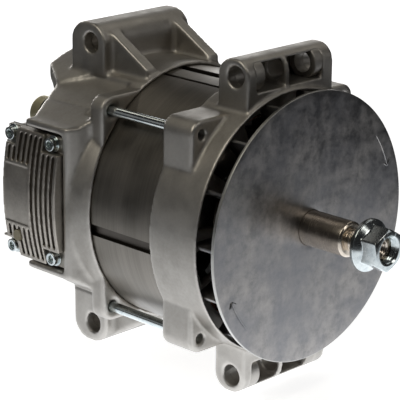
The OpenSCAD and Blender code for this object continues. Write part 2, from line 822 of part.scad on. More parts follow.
// Deep groove ball bearings. half is half of the width.
module outer_race(r, pitch_r, ball_r, y0, w) {
    color("#b8bbbd") difference() {
        rod(r, y0, y0 + w);
        rod(pitch_r + ball_r * 0.62, y0 - 1, y0 + w + 1);
        turned() translate([pitch_r, y0 + w / 2]) circle(ball_r + ball_gap, $fn = 48);
    }
}

module inner_race(r, pitch_r, ball_r, y0, w) {
    color("#b8bbbd") difference() {
        rod(pitch_r - ball_r * 0.62, y0, y0 + w);
        rod(r, y0 - 1, y0 + w + 1);
        turned() translate([pitch_r, y0 + w / 2]) circle(ball_r + ball_gap, $fn = 48);
    }
}

module ball_set(count, pitch_r, ball_r, y) {
    color("#d5d8da") around([for (i = [0:count - 1]) first_ball + i * 360 / count])
        translate([pitch_r, y, 0]) sphere(ball_r, $fn = 48);
}

module ball_cage(count, pitch_r, ball_r, y) {
    wall = ball_r * 0.22;
    color("#b08d4c") difference() {
        rod(pitch_r + wall, y - ball_r * 1.2, y + ball_r * 1.2);
        rod(pitch_r - wall, y - 2 * ball_r, y + 2 * ball_r);
        around([for (i = [0:count - 1]) first_ball + i * 360 / count])
            side_rod(ball_r + ball_gap, pitch_r - 2 * wall, pitch_r + 2 * wall, y, 0);
    }
}

module front_bearing_outer_race() {
    outer_race(front_outer_d / 2, front_pitch_r, front_ball_d / 2, front_bearing_y, front_bearing_w);
}

module front_bearing_inner_race() {
    inner_race(front_bore_d / 2, front_pitch_r, front_ball_d / 2, front_bearing_y, front_bearing_w);
}

module front_bearing_balls() {
    ball_set(front_balls, front_pitch_r, front_ball_d / 2, front_bearing_y + front_bearing_w / 2);
}

module front_bearing_cage() {
    ball_cage(front_balls, front_pitch_r, front_ball_d / 2, front_bearing_y + front_bearing_w / 2);
}

module rear_bearing_outer_race() {
    outer_race(rear_outer_d / 2, rear_pitch_r, rear_ball_d / 2, rear_bearing_y, rear_bearing_w);
}

module rear_bearing_inner_race() {
    inner_race(rear_bore_d / 2, rear_pitch_r, rear_ball_d / 2, rear_bearing_y, rear_bearing_w);
}

module rear_bearing_balls() {
    ball_set(rear_balls, rear_pitch_r, rear_ball_d / 2, rear_bearing_y + rear_bearing_w / 2);
}

module rear_bearing_cage() {
    ball_cage(rear_balls, rear_pitch_r, rear_ball_d / 2, rear_bearing_y + rear_bearing_w / 2);
}

// Plate behind the front bearing, held by four low screws.
module bearing_retainer() {
    color("#a5a7a8") difference() {
        rod(front_hub_r - 0.4, front_bearing_end, front_bearing_end + retainer_t);
        rod(20, front_bearing_end - 1, front_bearing_end + 4);
        around(retainer_angles)
            rod(retainer_screw_r, front_bearing_end - 1, front_bearing_end + 4, front_hub_r - 3.6);
    }
}

module retainer_screws() {
    color("#8e9091") around(retainer_angles) {
        rod(retainer_screw_r - seat_gap, front_bearing_end - 8, front_bearing_end + retainer_t,
            front_hub_r - 3.6);
        rod(3, front_bearing_end + retainer_t, front_bearing_end + 4.2, front_hub_r - 3.6);
    }
}

// Pressed cap that closes the rear bearing.
module rear_bearing_cap() {
    color("#b4b6b6") difference() {
        rod(rear_outer_d / 2, rear_bearing_end + 3, boss_end_y - 1);
        rod(rear_outer_d / 2 - cap_t, rear_bearing_end + 2, boss_end_y - 1 - cap_t);
    }
}

// Rectifier: two curved heat sinks, six pressed diodes and their fixings.
module sink_plate(y) {
    difference() {
        slab(y, y + sink_t) difference() {
            intersection() {
                circle(sink_out_r);
                sector(2.2 * sink_out_r, sink_half);
            }
            circle(sink_in_r);
        }
        around(sink_screw_angles)
            rod(sink_screw_hole_r + seat_gap, y - 1, y + sink_t + 1, sink_screw_r);
    }
}

module positive_heat_sink() {
    color("#9fa2a5") difference() {
        sink_plate(positive_sink_y);
        around(diode_angles) rod(diode_r + seat_gap, positive_sink_y - 1,
            positive_sink_y + sink_t + 1, diode_seat_r);
    }
}

module negative_heat_sink() {
    color("#9fa2a5") difference() {
        sink_plate(negative_sink_y);
        around([for (a = diode_angles) a + diode_row_turn]) rod(diode_r + seat_gap,
            negative_sink_y - 1, negative_sink_y + sink_t + 1, diode_seat_r - diode_row_step);
    }
}

module diode_can(y, r) {
    rod(diode_r, y, y + diode_h - 2, r);
    rod(diode_r - 1.6, y - 2, y, r);
    rod(0.9, y - 7, y - 2, r);
}

module diodes() {
    color("#6d6a66") {
        around(diode_angles) diode_can(positive_sink_y - 3, diode_seat_r);
        around([for (a = diode_angles) a + diode_row_turn])
            diode_can(negative_sink_y - 3, diode_seat_r - diode_row_step);
    }
}

module rectifier_insulators() {
    color("#d8cfae") around(sink_screw_angles) {
        difference() {
            rod(standoff_r, positive_sink_y + sink_t, negative_sink_y, sink_screw_r);
            rod(sink_screw_hole_r + seat_gap, positive_sink_y, rear_wall_y, sink_screw_r);
        }
        difference() {
            rod(standoff_r, negative_sink_y + sink_t, rear_wall_y, sink_screw_r);
            rod(sink_screw_hole_r + seat_gap, positive_sink_y, rear_wall_y + 1, sink_screw_r);
        }
    }
}

module rectifier_screws() {
    color("#c4c7c9") around(sink_screw_angles) {
        rod(sink_screw_hole_r, positive_sink_y, body_end_y - 3, sink_screw_r);
        hex_bar(7, positive_sink_y - 3, positive_sink_y, sink_screw_r);
    }
}

// Brush gear between the regulator and the slip rings.
module brush_holder() {
    color("#26262a") difference() {
        block([-reg_seat_x + 0.3, holder_y0 + slide_gap, -holder_h / 2 + slide_gap],
            [-holder_tip_x, holder_y1 - slide_gap, holder_h / 2 - slide_gap]);
        for (y = ring_y) block(
            [-reg_seat_x + holder_floor, y - brush_w / 2 - slide_gap, -brush_h / 2 - slide_gap],
            [-holder_tip_x + 1, y + brush_w / 2 + slide_gap, brush_h / 2 + slide_gap]);
    }
}

module brushes() {
    color("#3a3634") for (y = ring_y) difference() {
        block([-brush_tip_x - brush_len, y - brush_w / 2, -brush_h / 2],
            [-brush_tip_x + 2, y + brush_w / 2, brush_h / 2]);
        rod(ring_r + 0.1, y - brush_w, y + brush_w);
    }
}

// One coil spring along X, as a tube swept round a helix.
module coil_spring(y) {
    rings = spring_turns * spring_steps;
    pts = [for (i = [0:rings], j = [0:spring_sides - 1])
        let (a = i * 360 / spring_steps, b = j * 360 / spring_sides,
            r = spring_r + spring_wire_r * cos(b))
        [spring_x0 + (spring_x1 - spring_x0) * i / rings + spring_wire_r * sin(b),
            y + r * cos(a), r * sin(a)]];
    sides = [for (i = [0:rings - 1], j = [0:spring_sides - 1])
        let (k = (j + 1) % spring_sides)
        [i * spring_sides + j, i * spring_sides + k, (i + 1) * spring_sides + k,
            (i + 1) * spring_sides + j]];
    first = [[for (j = [spring_sides - 1:-1:0]) j]];
    last = [[for (j = [0:spring_sides - 1]) rings * spring_sides + j]];
    polyhedron(pts, concat(sides, first, last), convexity = 8);
}

module brush_springs() {
    color("#b0b2b4") for (y = ring_y) coil_spring(y);
}

// Finned regulator with four screws on corner pads.
module reg_profile(drop) {
    intersection() {
        translate([-reg_arc_x, 0]) circle(reg_arc_r - drop, $fn = 180);
        translate([-reg_base_x - 20, reg_z0 - reg_mid_z]) square([20, reg_h]);
    }
}

// reg_cut: what its children share with the layer of that depth under the outer arc.
module reg_cut(depth) {
    difference() {
        children();
        translate([0, 0, reg_mid_z]) slab(reg_y - 1, reg_end_y + 1) reg_profile(depth);
    }
}

function groove_y(i) = reg_y + 1.6 + (i + 0.5) * groove_pitch;

// A round-ended groove, the number counted from the front of the regulator.
module reg_groove(i, z0, z1) {
    r = reg_groove_w / 2;
    x0 = -reg_face_x - reg_bulge - 3;
    reg_cut(reg_groove_depth) {
        block([x0, groove_y(i) - r, z0 + r], [-reg_base_x, groove_y(i) + r, z1 - r]);
        for (z = [z0 + r, z1 - r]) side_rod(r, x0, -reg_base_x, groove_y(i), z);
    }
}

module regulator() {
    pad_x = reg_base_x + reg_pad_t;
    last = reg_grooves - 1;
    color("#57534f") difference() {
        translate([0, 0, reg_mid_z]) slab(reg_y, reg_end_y) reg_profile(0);
        // grooves between the front screws
        for (i = [0:2]) reg_groove(i, reg_pad_z0 + 2, reg_pad_z1 - 1);
        // grooves of the full height
        for (i = [3:4]) reg_groove(i, reg_z0 + reg_rim, reg_z1 - reg_rim);
        // grooves above and below the blank label field
        for (i = [5:last]) {
            reg_groove(i, reg_label_z1 + 2, i < last - 1 ? reg_z1 - reg_rim : reg_pad_z1 - 1);
            reg_groove(i, i < last - 1 ? reg_z0 + reg_rim : reg_pad_z0 + 2, reg_label_z0 - 2);
        }
        // corner pads under the screws
        for (y = [[reg_y - 1, reg_screw_y + 6.4],
                [reg_screw_y + reg_screw_pitch_y - 6.4, reg_end_y + 1]]) {
            block([-pad_x - 20, y[0], reg_pad_z1], [-pad_x, y[1], reg_z1 + 1]);
            block([-pad_x - 20, y[0], reg_z0 - 1], [-pad_x, y[1], reg_pad_z0]);
        }
        // step along the rear edge and the bed of the label
        block([-pad_x - 20, reg_end_y - reg_rail_w, reg_rail_z0],
            [-reg_face_x + 1, reg_end_y + 1, reg_pad_z1 + 1]);
        reg_cut(0.5) block([-reg_face_x - reg_bulge - 3, groove_y(4) + 3.6, reg_label_z0],
            [-reg_base_x, reg_end_y - reg_rail_w - 1, reg_label_z1]);
        regulator_screw_places() side_rod(reg_screw_r + seat_gap, -reg_face_x - 10, 0, 0, 0);
        side_rod(plug_r + seat_gap, -reg_face_x - 10, -plug_x, plug_y, plug_z);
    }
}

module regulator_gasket() {
    color("#1f1f20") difference() {
        block([-reg_base_x, reg_y, reg_z0], [-reg_seat_x, reg_end_y, reg_z1]);
        block([-reg_base_x - 1, holder_y0 - 1, -holder_h / 2 - 1],
            [-reg_seat_x + 1, holder_y1 + 1, holder_h / 2 + 1]);
        regulator_screw_places() side_rod(reg_screw_r + seat_gap, -reg_face_x - 10, 0, 0, 0);
    }
}

module regulator_screws() {
    pad_x = reg_base_x + reg_pad_t;
    color("#c9ccce") regulator_screw_places() {
        side_rod(reg_screw_r, -pad_x, -reg_seat_x + reg_screw_in, 0, 0);
        difference() {
            side_rod(4.6, -pad_x - 5.2, -pad_x, 0, 0);
            translate([-pad_x - 6, 0, 0]) rotate([0, 90, 0])
                cylinder(d = 4.6, h = 3.4, $fn = 6);
        }
    }
}

module regulator_plug() {
    color("#8c8468") side_rod(plug_r, -plug_x - 3.6, -plug_x, plug_y, plug_z);
}

// Terminals on the rear end.
module output_terminal() {
    color("#a79a3c") difference() {
        union() {
            rod(post_core_r, rear_wall_y - 8, post_y, post_x, post_z);
            rod(post_r, body_end_y + insulator_h, post_y, post_x, post_z);
            rod(post_foot_r, rear_wall_y - 5, rear_wall_y - 2, post_x, post_z);
        }
        rod(post_hole_r, post_y - post_hole_len, post_y + 1, post_x, post_z);
    }
}

module output_insulator() {
    color("#1c1c1d") difference() {
        union() {
            rod(post_r + 1.2, body_end_y, body_end_y + insulator_h, post_x, post_z);
            rod(post_tube_r - seat_gap, rear_wall_y, body_end_y, post_x, post_z);
            rod(post_foot_r, rear_wall_y - 2, rear_wall_y, post_x, post_z);
        }
        rod(post_core_r + seat_gap, rear_wall_y - 20, body_end_y + 10, post_x, post_z);
    }
}

module ground_terminal() {
    color("#b4b6b6") {
        rod(ground_r, rear_wall_y, body_end_y + 16, ground_x, ground_z);
        hex_bar(13, body_end_y, body_end_y + 6, ground_x, ground_z);
    }
}

module tap_terminal() {
    color("#b4b6b6") {
        rod(tap_seat_r, rear_wall_y, body_end_y, tap_x, tap_z);
        rod(tap_seat_r + 1.5, body_end_y, body_end_y + 2, tap_x, tap_z);
        rod(tap_r, body_end_y + 2, body_end_y + 12, tap_x, tap_z);
    }
}

drive_end_housing();
rear_housing();
stator_core();
stator_winding();
through_bolts();
through_bolt_washers();
fan();
fan_spacer();
rotor_shaft();
pulley_nut();
front_claw_pole();
rear_claw_pole();
field_coil();
field_coil_bobbin();
slip_ring_hub();
slip_rings();
front_bearing_outer_race();
front_bearing_inner_race();
front_bearing_balls();
front_bearing_cage();
bearing_retainer();
retainer_screws();
rear_bearing_outer_race();
rear_bearing_inner_race();
rear_bearing_balls();
rear_bearing_cage();
rear_bearing_cap();
positive_heat_sink();
negative_heat_sink();
diodes();
rectifier_insulators();
rectifier_screws();
brush_holder();
brushes();
brush_springs();
regulator();
regulator_gasket();
regulator_screws();
regulator_plug();
output_terminal();
output_insulator();
ground_terminal();
tap_terminal();
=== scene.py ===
"""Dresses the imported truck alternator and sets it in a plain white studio.

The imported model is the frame. Castings are made again from their solids with cast
radii, turned and threaded pieces are worked out as surfaces, and every other solid
keeps its shape and gets a finish. Sizes are in metres.
"""

from __future__ import annotations

import json
import logging
import math
from dataclasses import dataclass, field
from enum import Enum
from typing import Any, Sequence

import bmesh
import bpy
import numpy as np
from mathutils import Matrix, Vector

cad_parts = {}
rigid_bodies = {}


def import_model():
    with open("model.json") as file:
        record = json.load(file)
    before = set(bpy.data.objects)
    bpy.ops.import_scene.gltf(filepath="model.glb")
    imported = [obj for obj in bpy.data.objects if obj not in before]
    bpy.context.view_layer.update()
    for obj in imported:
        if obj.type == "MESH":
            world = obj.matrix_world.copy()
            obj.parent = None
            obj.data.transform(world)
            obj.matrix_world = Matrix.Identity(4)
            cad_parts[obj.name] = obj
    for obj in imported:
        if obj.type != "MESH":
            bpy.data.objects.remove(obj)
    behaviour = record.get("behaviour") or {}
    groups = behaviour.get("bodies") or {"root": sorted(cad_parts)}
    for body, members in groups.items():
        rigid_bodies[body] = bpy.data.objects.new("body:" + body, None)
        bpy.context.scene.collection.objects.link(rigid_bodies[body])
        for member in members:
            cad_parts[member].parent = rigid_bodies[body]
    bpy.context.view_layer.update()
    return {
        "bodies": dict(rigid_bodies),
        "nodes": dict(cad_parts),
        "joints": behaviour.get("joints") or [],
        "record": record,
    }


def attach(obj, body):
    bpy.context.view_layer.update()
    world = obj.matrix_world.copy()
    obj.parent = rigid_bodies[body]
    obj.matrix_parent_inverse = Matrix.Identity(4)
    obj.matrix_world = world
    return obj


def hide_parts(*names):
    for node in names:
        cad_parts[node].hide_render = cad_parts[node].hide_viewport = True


log = logging.getLogger("alternator")
MM = 0.001
Colour = tuple[float, float, float]


class Body(str, Enum):
    """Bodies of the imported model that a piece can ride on."""

    HOUSING = "housing"
    ROTOR = "rotor"


# Node trees and finishes


class Recipe:
    """A material under construction, with short calls for the nodes used here."""

    def __init__(self, name: str) -> None:
        """Starts a material with a principled shader.

        Args:
            name: Name of the material.
        """
        self.material = bpy.data.materials.new(name)
        self.material.use_nodes = True
        self.tree = self.material.node_tree
        self.shader = self.tree.nodes["Principled BSDF"]
        self.place = self.add("ShaderNodeTexCoord").outputs["Object"]

    def add(self, kind: str, **settings: Any) -> bpy.types.Node:
        """Adds a node and sets its properties.

        Args:
            kind: Type name of the node.
            **settings: Properties to set on the node.

        Returns:
            The new node.
        """
        node = self.tree.nodes.new(kind)
        for key, value in settings.items():
            setattr(node, key, value)
        return node

    def wire(self, value: Any, socket: bpy.types.NodeSocket) -> None:
        """Links an output to a socket, or writes a plain value on it.

        Args:
            value: An output, or a plain value.
            socket: The input that gets it.
        """
        if isinstance(value, bpy.types.NodeSocket):
            self.tree.links.new(value, socket)
        else:
            socket.default_value = value

    def stretch(self, scale: Sequence[float]) -> bpy.types.NodeSocket:
        """Object coordinates scaled along each axis.

        Args:
            scale: Factor along X, Y and Z.

        Returns:
            The scaled coordinates.
        """
        node = self.add("ShaderNodeMapping")
        self.wire(self.place, node.inputs["Vector"])
        node.inputs["Scale"].default_value = tuple(scale)
        return node.outputs["Vector"]

    def noise(
        self,
        size: float,
        detail: float = 4.0,
        rough: float = 0.55,
        vector: bpy.types.NodeSocket | None = None,
    ) -> bpy.types.NodeSocket:
        """Cloudy noise.

        Args:
            size: Size of one cloud in metres.
            detail: Number of finer layers.
            rough: Weight of the finer layers.
            vector: Coordinates, or None for plain object coordinates.

        Returns:
            The noise value, about 0.3 to 0.7.
        """
        node = self.add("ShaderNodeTexNoise")
        self.wire(vector or self.place, node.inputs["Vector"])
        node.inputs["Scale"].default_value = 1.0 / size
        node.inputs["Detail"].default_value = detail
        node.inputs["Roughness"].default_value = rough
        return node.outputs["Fac"]

    def ramp(self, value: Any, low: float, high: float, to: Sequence[float] = (0, 1)) -> Any:
        """Maps a value from one range to another, with both ends held.

        Args:
            value: The value to map.
            low: Start of the range read.
            high: End of the range read.
            to: The two ends of the range written.

        Returns:
            The mapped value.
        """
        node = self.add("ShaderNodeMapRange")
        self.wire(value, node.inputs["Value"])
        node.inputs["From Min"].default_value = low
        node.inputs["From Max"].default_value = high
        node.inputs["To Min"].default_value = to[0]
        node.inputs["To Max"].default_value = to[1]
        return node.outputs["Result"]

    def math(self, what: str, a: Any, b: Any = 0.0) -> bpy.types.NodeSocket:
        """A math node of two values.

        Args:
            what: Operation of the node.
            a: First value.
            b: Second value.

        Returns:
            The result.
        """
        node = self.add("ShaderNodeMath", operation=what)
        self.wire(a, node.inputs[0])
        self.wire(b, node.inputs[1])
        return node.outputs[0]

    def blend(self, factor: Any, first: Any, second: Any) -> bpy.types.NodeSocket:
        """Mixes two colours by a factor.

        Args:
            factor: Share of the second colour.
            first: Colour, or an output, at factor 0.
            second: Colour, or an output, at factor 1.

        Returns:
            The mixed colour.
        """
        node = self.add("ShaderNodeMix", data_type="RGBA")
        self.wire(factor, node.inputs["Factor"])
        for value, name in ((first, "A"), (second, "B")):
            socket = [s for s in node.inputs if s.name == name and s.type == "RGBA"][0]
            self.wire((*value, 1.0) if isinstance(value, tuple) else value, socket)
        return [s for s in node.outputs if s.type == "RGBA"][0]

    def attribute(self, name: str) -> bpy.types.NodeSocket:
        """The value of a mesh attribute."""
        return self.add("ShaderNodeAttribute", attribute_name=name).outputs["Fac"]

    def axis(self, which: str) -> bpy.types.NodeSocket:
        """One of the object coordinates.

        Args:
            which: Letter of the axis.

        Returns:
            The coordinate in metres.
        """
        node = self.add("ShaderNodeSeparateXYZ")
        self.wire(self.place, node.inputs[0])
        return node.outputs[which]

    def radius(self) -> bpy.types.NodeSocket:
        """Distance from the shaft axis, which is Y."""
        square = [self.math("MULTIPLY", self.axis(a), self.axis(a)) for a in "XZ"]
        return self.math("SQRT", self.math("ADD", *square))

    def relief(self, height: Any, depth: float, strength: float = 1.0) -> None:
        """Bumps the surface.

        Args:
            height: Height pattern from 0 to 1.
            depth: Height of the pattern in metres.
            strength: Strength of the bump.
        """
        node = self.add("ShaderNodeBump")
        self.wire(height, node.inputs["Height"])
        node.inputs["Distance"].default_value = depth
        node.inputs["Strength"].default_value = strength
        last = self.shader.inputs["Normal"]
        if last.is_linked:
            self.wire(last.links[0].from_socket, node.inputs["Normal"])
        self.wire(node.outputs["Normal"], last)

    def finish(self, colour: Any, rough: Any, metallic: float) -> bpy.types.Material:
        """Sets the main values of the shader.

        Args:
            colour: Base colour.
            rough: Roughness.
            metallic: 1 for bare metal, 0 for plastic and paint.

        Returns:
            The finished material.
        """
        colour = (*colour, 1.0) if isinstance(colour, tuple) else colour
        self.wire(colour, self.shader.inputs["Base Color"])
        self.wire(rough, self.shader.inputs["Roughness"])
        self.shader.inputs["Metallic"].default_value = metallic
        return self.material


@dataclass(frozen=True)
class BlastedCasting:
    """Bead-blasted cast aluminium: a fine pitted grain, faint stains and pale edges, partly worn and
    partly a painted highlight.
    """

    name: str
    colour: Colour
    stain: Colour
    edge: Colour
    rough: float = 0.5
    grain: float = 0.0009
    depth: float = 0.00006
    edge_wear_and_highlight: bool = True

    def make(self) -> bpy.types.Material:
        """Builds the material.

        Returns:
            The finished material.
        """
        r = Recipe(self.name)
        stains = r.ramp(r.noise(0.045, 5.0), 0.38, 0.62)
        specks = r.ramp(r.noise(0.0022, 3.0, 0.7), 0.35, 0.68)
        colour = r.blend(stains, self.stain, self.colour)
        colour = r.blend(r.math("MULTIPLY", specks, 0.16), colour, self.edge)
        rough = r.ramp(r.noise(0.012, 4.0), 0.35, 0.65, (self.rough - 0.05, self.rough + 0.07))
        # Pale colour on convex edges: partly wear, partly a painted highlight where the edges catch
        # light.
        if self.edge_wear_and_highlight:
            edge = r.ramp(r.attribute("edge_wear_and_highlight"), 0.06, 0.42)
            broken_up = r.ramp(r.noise(0.006, 4.0), 0.3, 0.55, (0.35, 1.0))
            edge = r.math("MULTIPLY", r.math("MULTIPLY", edge, broken_up), 0.45)
            colour = r.blend(edge, colour, self.edge)
            rough = r.math("SUBTRACT", rough, r.math("MULTIPLY", edge, 0.14))
        r.relief(r.noise(self.grain, 2.0, 0.6), self.depth, 0.8)
        r.relief(r.noise(0.006, 3.0), self.depth * 3.0, 0.35)
        return r.finish(colour, rough, 1.0)


@dataclass(frozen=True)
class MottledDisc:
    """Die-cast fan metal, with cloudy grey and blue-grey patches and a rim painted paler as a
    highlight.
    """

    name: str
    pale: Colour
    dark: Colour
    blue: Colour
    rim: Colour
    rim_r: float
    rough: float = 0.36

    def make(self) -> bpy.types.Material:
        """Builds the material.

        Returns:
            The finished material.
        """
        r = Recipe(self.name)
        clouds = r.ramp(r.noise(0.011, 7.0, 0.70), 0.38, 0.62)
        patches = r.ramp(r.noise(0.034, 5.0, 0.62), 0.40, 0.60)
        fine = r.ramp(r.noise(0.0035, 5.0, 0.7), 0.35, 0.65)
        colour = r.blend(clouds, self.dark, self.pale)
        colour = r.blend(r.math("MULTIPLY", patches, 0.6), colour, self.blue)
        colour = r.blend(r.math("MULTIPLY", fine, 0.22), colour, self.pale)
        # Paler colour on the outer rim: a painted highlight along the disc's edge.
        rim = r.ramp(r.radius(), self.rim_r - 0.0006, self.rim_r - 0.0002)
        colour = r.blend(rim, colour, self.rim)
        rough = r.ramp(clouds, 0.0, 1.0, (self.rough - 0.05, self.rough + 0.09))
        r.relief(r.noise(0.0012, 3.0), 0.00004, 0.7)
        r.relief(r.noise(0.011, 4.0), 0.00025, 0.35)
        return r.finish(colour, rough, 1.0)


@dataclass(frozen=True)
class PressedStack:
    """Edges of pressed steel sheets: rings of fine lines round the axis with a thin varnish."""

    name: str
    pale: Colour
    dark: Colour
    groove_shade: Colour
    outer_r: float
    sheet: float = 0.0007
    rough: float = 0.42

    def make(self) -> bpy.types.Material:
        """Builds the material.

        Returns:
            The finished material.
        """
        r = Recipe(self.name)
        rings = r.stretch((0.02, 1.0, 0.02))
        lines = r.noise(self.sheet * 2.2, 3.0, 0.8, rings)
        bands = r.noise(0.009, 3.0, 0.6, r.stretch((0.06, 1.0, 0.06)))
        smears = r.noise(0.03, 5.0)
        tone = r.math("ADD", r.math("MULTIPLY", lines, 0.5), r.math("MULTIPLY", bands, 0.5))
        tone = r.math("ADD", r.math("MULTIPLY", tone, 0.6), r.math("MULTIPLY", smears, 0.4))
        colour = r.blend(r.ramp(tone, 0.38, 0.62), self.dark, self.pale)
        # Darker colour below the outer radius: painted shade in the grooves of the stack.
        skin = r.ramp(r.radius(), self.outer_r - 0.0012, self.outer_r - 0.0003)
        colour = r.blend(skin, self.groove_shade, colour)
        rough = r.ramp(smears, 0.35, 0.65, (self.rough - 0.06, self.rough + 0.08))
        r.relief(lines, 0.00003, 0.4)
        return r.finish(colour, rough, 1.0)


@dataclass(frozen=True)
class TurnedSteel:
    """Turned or ground steel, with fine tool marks round the shaft axis and a faint film."""

    name: str
    colour: Colour
    film: Colour
    rough: float = 0.25
    mark: float = 0.00035

    def make(self) -> bpy.types.Material:
        """Builds the material.

        Returns:
            The finished material.
        """
        r = Recipe(self.name)
        marks = r.noise(self.mark, 2.0, 0.7, r.stretch((0.05, 1.0, 0.05)))
        film = r.ramp(r.noise(0.008, 4.0), 0.38, 0.64)
        colour = r.blend(film, self.film, self.colour)
        rough = r.ramp(marks, 0.3, 0.7, (self.rough - 0.02, self.rough + 0.04))
        r.relief(marks, 0.000004, 0.2)
        return r.finish(colour, rough, 1.0)


@dataclass(frozen=True)
class Plating:
    """Thin bright or tinted plating over steel, with cloudy tint and small dull spots."""

    name: str
    colour: Colour
    tint: Colour
    rough: float = 0.2

    def make(self) -> bpy.types.Material:
        """Builds the material.

        Returns:
            The finished material.
        """
        r = Recipe(self.name)
        clouds = r.ramp(r.noise(0.005, 4.0, 0.6), 0.36, 0.66)
        spots = r.ramp(r.noise(0.0012, 2.0), 0.62, 0.72)
        colour = r.blend(clouds, self.tint, self.colour)
        rough = r.math("ADD", r.math("MULTIPLY", spots, 0.12), self.rough)
        r.relief(r.noise(0.0008, 3.0), 0.000015, 0.5)
        return r.finish(colour, rough, 1.0)


@dataclass(frozen=True)
class Moulding:
    """Moulded resin, rubber or carbon, with a fine matt skin and small shade changes."""

    name: str
    colour: Colour
    pale: Colour
    rough: float = 0.5
    grain: float = 0.0006

    def make(self) -> bpy.types.Material:
        """Builds the material.

        Returns:
            The finished material.
        """
        r = Recipe(self.name)
        shade = r.ramp(r.noise(0.007, 4.0), 0.35, 0.65)
        dust = r.ramp(r.noise(0.0015, 3.0), 0.55, 0.75)
        colour = r.blend(r.math("MULTIPLY", shade, 0.6), self.colour, self.pale)
        colour = r.blend(r.math("MULTIPLY", dust, 0.3), colour, self.pale)
        rough = r.ramp(shade, 0.0, 1.0, (self.rough - 0.06, self.rough + 0.08))
        r.relief(r.noise(self.grain, 2.0), 0.00003, 0.6)
        return r.finish(colour, rough, 0.0)


@dataclass(frozen=True)
class WoundCopper:
    """Enamelled copper wire under varnish, as bright strands with painted shade in the gaps between
    them.
    """

    name: str
    colour: Colour
    gap_shade: Colour
    wire: float = 0.0011

    def make(self) -> bpy.types.Material:
        """Builds the material.

        Returns:
            The finished material.
        """
        r = Recipe(self.name)
        wave = r.add("ShaderNodeTexWave", wave_type="RINGS", rings_direction="Y")
        r.wire(r.place, wave.inputs["Vector"])
        wave.inputs["Scale"].default_value = 0.16 / self.wire
        wave.inputs["Distortion"].default_value = 1.6
        wave.inputs["Detail"].default_value = 2.0
        strands = wave.outputs["Fac"]
        # Dark colour between the strands: painted shade in the gaps between wires.
        colour = r.blend(r.ramp(strands, 0.1, 0.6), self.gap_shade, self.colour)
        drips = r.noise(0.006, 4.0)
        rough = r.ramp(drips, 0.35, 0.65, (0.18, 0.42))
        r.relief(strands, 0.0003, 0.8)
        r.shader.inputs["Coat Weight"].default_value = 0.5
        r.shader.inputs["Coat Roughness"].default_value = 0.15
        return r.finish(colour, rough, 0.7)


class Finishes:
    """All finishes of the alternator, each made once and found by its slot name."""

    def __init__(self) -> None:
        """Makes every finish."""
        cast = BlastedCasting("cast_housing", (0.42, 0.395, 0.36), (0.34, 0.32, 0.29),
                              (0.60, 0.57, 0.525))
        block = BlastedCasting("regulator_cast", (0.345, 0.318, 0.28), (0.268, 0.246, 0.218),
                               (0.62, 0.57, 0.50), rough=0.46, grain=0.0007)
        recipes = [
            cast,
            block,
            PressedStack("stator_steel", (0.25, 0.229, 0.200), (0.158, 0.145, 0.124),
                         (0.085, 0.075, 0.065), 82.0 * MM),
            WoundCopper("copper_winding", (0.62, 0.26, 0.12), (0.10, 0.035, 0.02)),
            Plating("zinc_steel", (0.68, 0.715, 0.70), (0.50, 0.545, 0.55), 0.18),
            MottledDisc("fan_cast", (0.370, 0.348, 0.328), (0.170, 0.166, 0.163), (0.168, 0.172, 0.186),
                        (0.50, 0.49, 0.46), 85.3 * MM),
            TurnedSteel("shaft_steel", (0.68, 0.60, 0.51), (0.54, 0.475, 0.40), 0.24, 0.0005),
            TurnedSteel("pole_steel", (0.34, 0.33, 0.32), (0.22, 0.21, 0.20), 0.42, 0.0008),
            TurnedSteel("bearing_steel", (0.66, 0.67, 0.68), (0.55, 0.56, 0.57), 0.14),
            Plating("cage_brass", (0.72, 0.52, 0.22), (0.55, 0.38, 0.15), 0.3),
            Moulding("black_plastic", (0.018, 0.018, 0.019), (0.05, 0.05, 0.05), 0.42),
            TurnedSteel("ring_copper", (0.72, 0.38, 0.20), (0.55, 0.26, 0.13), 0.22),
            Moulding("carbon", (0.05, 0.045, 0.042), (0.12, 0.11, 0.10), 0.6),
            TurnedSteel("spring_steel", (0.55, 0.55, 0.56), (0.42, 0.42, 0.43), 0.25, 0.0002),
            Plating("sink_aluminium", (0.66, 0.67, 0.68), (0.54, 0.55, 0.56), 0.38),
            Plating("diode_metal", (0.44, 0.42, 0.39), (0.33, 0.31, 0.29), 0.34),
            Moulding("insulator_fibre", (0.55, 0.50, 0.34), (0.66, 0.61, 0.45), 0.6),
            Moulding("gasket_rubber", (0.012, 0.012, 0.012), (0.03, 0.03, 0.03), 0.7),
            Moulding("plug_resin", (0.36, 0.325, 0.235), (0.45, 0.41, 0.31), 0.5),
            Plating("terminal_plate", (0.60, 0.55, 0.38), (0.50, 0.45, 0.29), 0.48),
        ]
        self.made = {recipe.name: recipe.make() for recipe in recipes}

    def dress(self, piece: bpy.types.Object, slot: str) -> None:
        """Gives a piece one finish.

        Args:
            piece: The piece.
            slot: Name of the finish, which is the record's slot name.
        """
        piece.data.materials.clear()
        piece.data.materials.append(self.made[slot])


# Surfaces


def smooth_step(low: float, high: float, value: np.ndarray) -> np.ndarray:
    """Smooth rise from 0 at low to 1 at high: 3t^2 - 2t^3 with t held to 0..1.

    Args:
        low: Value where the rise starts.
        high: Value where it ends.
        value: The values read.

    Returns:
        The height of the rise at each value.
    """
    t = np.clip((value - low) / (high - low), 0.0, 1.0)
    return t * t * (3.0 - 2.0 * t)


def resample(points: np.ndarray, step: float) -> np.ndarray:
    """Adds points on every leg of a polyline that is longer than a step.

    Args:
        points: Points of the polyline, one row each.
        step: Longest leg wanted.

    Returns:
        The denser polyline, with every corner kept.
    """
    legs = np.linalg.norm(np.diff(points, axis=0), axis=1)
    counts = np.maximum(1, np.ceil(legs / step)).astype(int)
    leg = np.repeat(np.arange(len(legs)), counts)
    start = np.concatenate([[0], np.cumsum(counts)[:-1]])
    share = (np.arange(len(leg)) - start[leg]) / counts[leg]
    body = points[leg] + (points[leg + 1] - points[leg]) * share[:, None]
    return np.vstack([body, points[-1:]])


